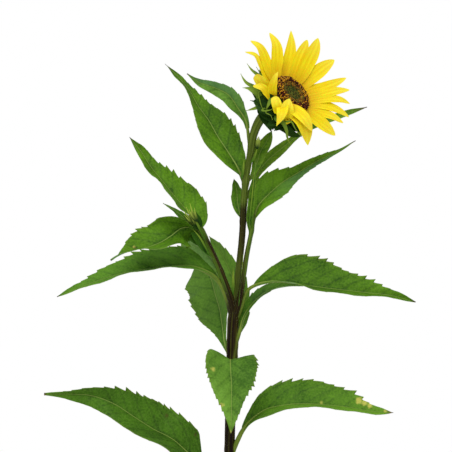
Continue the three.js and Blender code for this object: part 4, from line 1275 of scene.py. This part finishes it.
# %% Bracts
# Width and line of each bract on the near side. The pale ones are thinner and lie outermost.
NEAR_BRACTS = [
    (15, [(50, -42, 587), (37, -44, 592), (24, -40, 599)]),
    (13, [(48, -43, 579), (37, -46, 582), (26, -42, 588)]),
    (4, [(35, -44, 586), (28, -42, 589), (22, -39, 591)]),
    (13, [(52, -40, 573), (41, -43, 575), (30, -39, 578)]),
    (13, [(56, -40, 569), (48, -43, 567), (40, -41, 564)]),
    (12, [(61, -37, 569), (54, -40, 563), (48, -38, 558)]),
    (9, [(58, -40, 567), (63, -44, 558), (69, -42, 554), (78, -37, 552)]),
    (8, [(63, -38, 572), (71, -40, 565), (80, -36, 560)]),
    (12, [(56, -37, 575), (66, -39, 568), (75, -37, 561)]),
    (9, [(67, -36, 565), (74, -37, 560), (79, -34, 556)]),
    (8, [(58, -36, 567), (65, -38, 560), (72, -36, 554)]),
    (15, [(37, -36, 583), (43, -36, 572), (47, -35, 559)]),
    (13, [(50, -40, 578), (53, -40, 568), (59, -38, 556)]),
    (13, [(39, -42, 591), (33, -42, 590), (25, -38, 590)]),
    (10, [(42, -38, 578), (47, -38, 568), (51, -37, 558)]),
    (13, [(46, -38, 577), (49, -39, 568), (51, -36, 559)]),
    (12, [(42, -38, 577), (45, -39, 569), (48, -36, 560)]),
    (12, [(38, -36, 578), (42, -37, 568), (45, -35, 557)]),
]
PALE_BRACTS = [
    (4.2, [(36, -26, 615), (30, -27, 620), (24, -26, 625), (19, -22, 632)]),
    (2.2, [(35, -22, 619), (32, -20, 624), (29, -18, 629)]),
    (4.6, [(35, -34, 602), (26, -35, 606), (19, -32, 610), (15, -29, 615), (12, -25, 621)]),
    (7, [(35, -42, 593), (30, -43, 598), (24, -42, 602), (20, -38, 604), (14, -33, 605)]),
    (5, [(37, -42, 588), (30, -44, 583), (23, -41, 581), (18, -37, 580)]),
    (4.6, [(50, -50, 571), (57, -54, 566), (61, -54, 558), (62, -50, 550), (66, -44, 542)]),
    (2, [(59, -53, 568), (66, -55, 567), (70, -55, 560), (76, -50, 552)]),
    (2, [(35, -50, 580), (41, -53, 579), (49, -52, 582)]),
    (6, [(46, -47, 592), (42, -50, 586), (39, -48, 580)]),
    (1.8, [(32, -45, 600), (33, -48, 588), (36, -49, 580)]),
    (1.8, [(39, -50, 578), (44, -52, 574), (46, -51, 569)]),
]
# Angle round the head, slope off its plane and length of each bract on the far side.
FAR_BRACTS = [(345, 0, 30), (0, -12, 32), (20, -20, 32), (42, -34, 30), (66, -20, 32), (90, -34, 30),
              (112, -20, 32), (134, -32, 30), (154, -22, 32), (170, -4, 30)]
# The same for the short ones that lie along the cup all round.
CLOSE_BRACTS = [(number * 24 + 9, 38 + 6 * math.sin(number * 2.1), 17 + 2 * math.sin(number * 3.7))
                for number in range(15)]
# Radius and height of the ring that each kind stands on.
NEAR_RING, PALE_RING = (17.0, -11.0), (20.0, -8.0)
FAR_RING, CLOSE_RING = (15.0, -12.0), (9.0, -21.5)
BRACT_FACES = direction(-110, 10)
ROW_WIDTH = 10.0  # mm, of the far and the close ones
SLOPE_CHANGE = (-12, 14)  # degrees added to the slope at the foot and at the tip


def bract_mesh(line, width, faces, widest=0.4):
    """A thick strap with a keel and raised margins."""
    return strap_mesh("bract", line, width, faces, widest, (0.5, 1.1), 0.6, 0.0, 0.25, 6)


dark_straps = [bract_mesh(seated(points, *NEAR_RING), width, BRACT_FACES, 0.58)
               for width, points in NEAR_BRACTS]
for ring, rows in ((FAR_RING, FAR_BRACTS), (CLOSE_RING, CLOSE_BRACTS)):
    for angle, slope, length in rows:
        lift = (slope + SLOPE_CHANGE[0], slope + SLOPE_CHANGE[1])
        line = strap_line(head_point(angle, *ring), angle, lift, length)
        dark_straps.append(bract_mesh(line, ROW_WIDTH, HEAD_AXIS))
pale_straps = [bract_mesh(seated(points, *PALE_RING), width, BRACT_FACES)
               for width, points in PALE_BRACTS]
place_piece("bracts", joined("bracts", dark_straps), [shaded_bract_skin, shaded_bract_skin], "bracts")
place_piece("pale_bracts", joined("pale_bracts", pale_straps), [pale_bract_skin, pale_bract_skin],
            "bracts")

# %% [markdown]
# ## Buds
# A cluster of narrow pointed scales closes the tip of the left shoot, with six longer ones standing
# open, and a small yellowish bud stands beside the neck. A bud shows only its scales, so it has no
# core: its scales start from one point, each a little more open than the one before.

# %% Shape of a bud
THIN_SCALE = (0.35, (0.5, 1.3), 0.4, 0.0, 0.3)  # widest, powers, thickness, groove and channel


def bud_meshes(foot, lean, radius, length, scales, spread, width):
    """Pointed scales round a line, each a little more open than the one before."""
    axis = direction(*lean)
    side = unit(np.cross(axis, [0.0, 1.0, 0.2]))
    other = np.cross(axis, side)
    foot = np.array(foot, float)
    made = []
    for number in range(scales):
        turn = number * math.radians(GOLDEN_ANGLE)
        outward = side * math.cos(turn) + other * math.sin(turn)
        opening = math.radians(spread * (number + 1) / scales)
        heading = axis * math.cos(opening) + outward * math.sin(opening)
        reach = length * (0.85 + 0.15 * math.sin(number * 2.7))
        points = [foot, foot + axis * reach * 0.2 + outward * radius,
                  foot + heading * reach * 0.6 + outward * radius, foot + heading * reach]
        made.append(strap_mesh("scale", smooth_line(points, 8), width, outward * -1.0, *THIN_SCALE))
    return made


# %% Bud material
# A young scale is smooth and waxy: dark green at its foot and yellow green at its tip.
bud_skin, tree, shader = shader_of("waxy young bud scale", 0.55, 0.15)
lay = add(tree, "Attribute", attribute_name="lay")
split = add(tree, "SeparateXYZ", {0: lay.outputs["Vector"]})
rise = add(tree, "MapRange", {0: split.outputs["Z"], 1: 0.15, 2: 0.85})
young = add(tree, "Mix", {0: rise.outputs[0], 6: linear("#1d3a0c"), 7: linear("#a8bc48")},
            data_type="RGBA")
tree.links.new(young.outputs[2], shader.inputs["Base Color"])

# %% Buds
# Width and line of each open scale of the cluster.
SPIKES = [
    (2.6, [(-38, -26, 460), (-45, -29, 466), (-50, -30, 472)]),
    (2.6, [(-36, -27, 460), (-43, -30, 468), (-47, -31, 476)]),
    (2.4, [(-35, -27, 460), (-40, -30, 470), (-43, -31, 480)]),
    (2.4, [(-34, -27, 460), (-37, -30, 468), (-38, -31, 475)]),
    (2.2, [(-39, -26, 459), (-44, -29, 462), (-49, -30, 467)]),
    (2.2, [(-35, -28, 460), (-40, -31, 466), (-44, -32, 473)]),
]
shoot_scales = bud_meshes((-36, -22, 455), (195, 57), radius=1.8, length=20, scales=11, spread=26,
                          width=2.8)
shoot_scales += [strap_mesh("spike", smooth_line(points, 8), width, direction(*TO_VIEWER), *THIN_SCALE)
                 for width, points in SPIKES]
neck_scales = bud_meshes((30, -4, 540), (30, 76), radius=1.6, length=14, scales=7, spread=6, width=4.2)
for bud, scales in (("shoot_bud", shoot_scales), ("neck_bud", neck_scales)):
    name = bud + "_scales"
    place_piece(name, joined(name, scales), [bud_skin, bud_skin], "leaf", bud)

# %% [markdown]
# ## Small leaves in the forks
# Where a shoot or a stalk leaves the stem, small leaves and thin pale ones stand in the fork, and one
# of the pale ones is the stalk of the neck's bud. The small leaves at the left shoot's fork get a green
# far darker than a leaf's own: painted shade of the fork. Three broad thin leaf bases show behind the
# left shoot. They are straps as well, each with a line of its own, joined by kind.

# %% Small leaves in the forks
# Width and line of each.
SHADED_AXILS = [
    (4.4, [(-25, -18, 426), (-28, -20, 432), (-32, -20, 438), (-35, -19, 444)]),
    (7, [(-32, -20, 451), (-38, -23, 459), (-43, -24, 465)]),
    (4.4, [(-30, -22, 455), (-33, -24, 463), (-37, -25, 471)]),
    (3.5, [(-35, -23, 455), (-40, -26, 463), (-43, -26, 471)]),
    (7, [(-34, -23, 458), (-40, -25, 464), (-45, -26, 471)]),
]
PALE_AXILS = [
    (3.2, [(3, -4, 376), (4, -8, 392), (4, -9, 409)]),
    (2.6, [(-28, -21, 443), (-34, -26, 456), (-42, -28, 469)]),
    (2.2, [(-21, -19, 422), (-27, -22, 434), (-33, -22, 444), (-41, -20, 453)]),
    (3, [(-26, -17, 440), (-30, -20, 448), (-32, -21, 455)]),
    (2.6, [(13, -4, 506), (15, -5, 517), (16, -4, 529)]),
    (2.6, [(22, -2, 523), (27, -3, 531), (31, -4, 542)]),
    # This thin strap up the stem's right side fills out the stem's edge; its pale colour there is partly
    # a painted highlight.
    (1.7, [(10, -9, 368), (12, -9, 385), (14, -8, 407), (15, -7, 424)]),
    (1.6, [(21, -13, 449), (23, -14, 473), (25, -14, 492), (27, -12, 514)]),
    (1.4, [(24, -13, 460), (26, -13, 476), (27, -12, 489), (29, -12, 501)]),
]
LEAF_WINGS = [
    (12, [(-18, -9, 422), (-27, -11, 434), (-34, -13, 442), (-41, -15, 449), (-48, -18, 451)]),
    (8, [(-26, -10, 440), (-32, -12, 446), (-39, -14, 452), (-44, -17, 455)]),
    (10, [(-27, -7, 434), (-37, -9, 441), (-44, -11, 446), (-53, -12, 450)]),
]
SMALL_LEAF = (0.4, (0.5, 1.1), 0.4, 0.0, 0.3)  # widest, powers, thickness, groove and channel
# A leaf base is thin and even. The small fork leaves are very dark, painted shade of the fork, and both
# are as dull as the bracts.
wing_skin = bract_finish("thin leaf base", "#32600f", "#4d7c24", "#46761f")
shaded_axil_skin = bract_finish("fork leaf in painted shade", "#16330a", "#28500f", "#3a6418")
for name, rows, skin in (("axil_leaves", SHADED_AXILS, shaded_axil_skin),
                         ("pale_axil_leaves", PALE_AXILS, pale_bract_skin),
                         ("leaf_wings", LEAF_WINGS, wing_skin)):
    made = [strap_mesh("axil leaf", smooth_line(points, 8), width, direction(*TO_VIEWER), *SMALL_LEAF)
            for width, points in rows]
    place_piece(name, joined(name, made), [skin, skin], "leaf")

# %% [markdown]
# ## Last step
# The blanks that every piece was bent from are removed. The finished plant has to fill the
# same box as the imported model.

# %% Remove the blanks and finish
for mesh in (leaf_blank, narrow_blank, strap_blank, hair):
    bpy.data.meshes.remove(mesh)
bpy.context.view_layer.update()
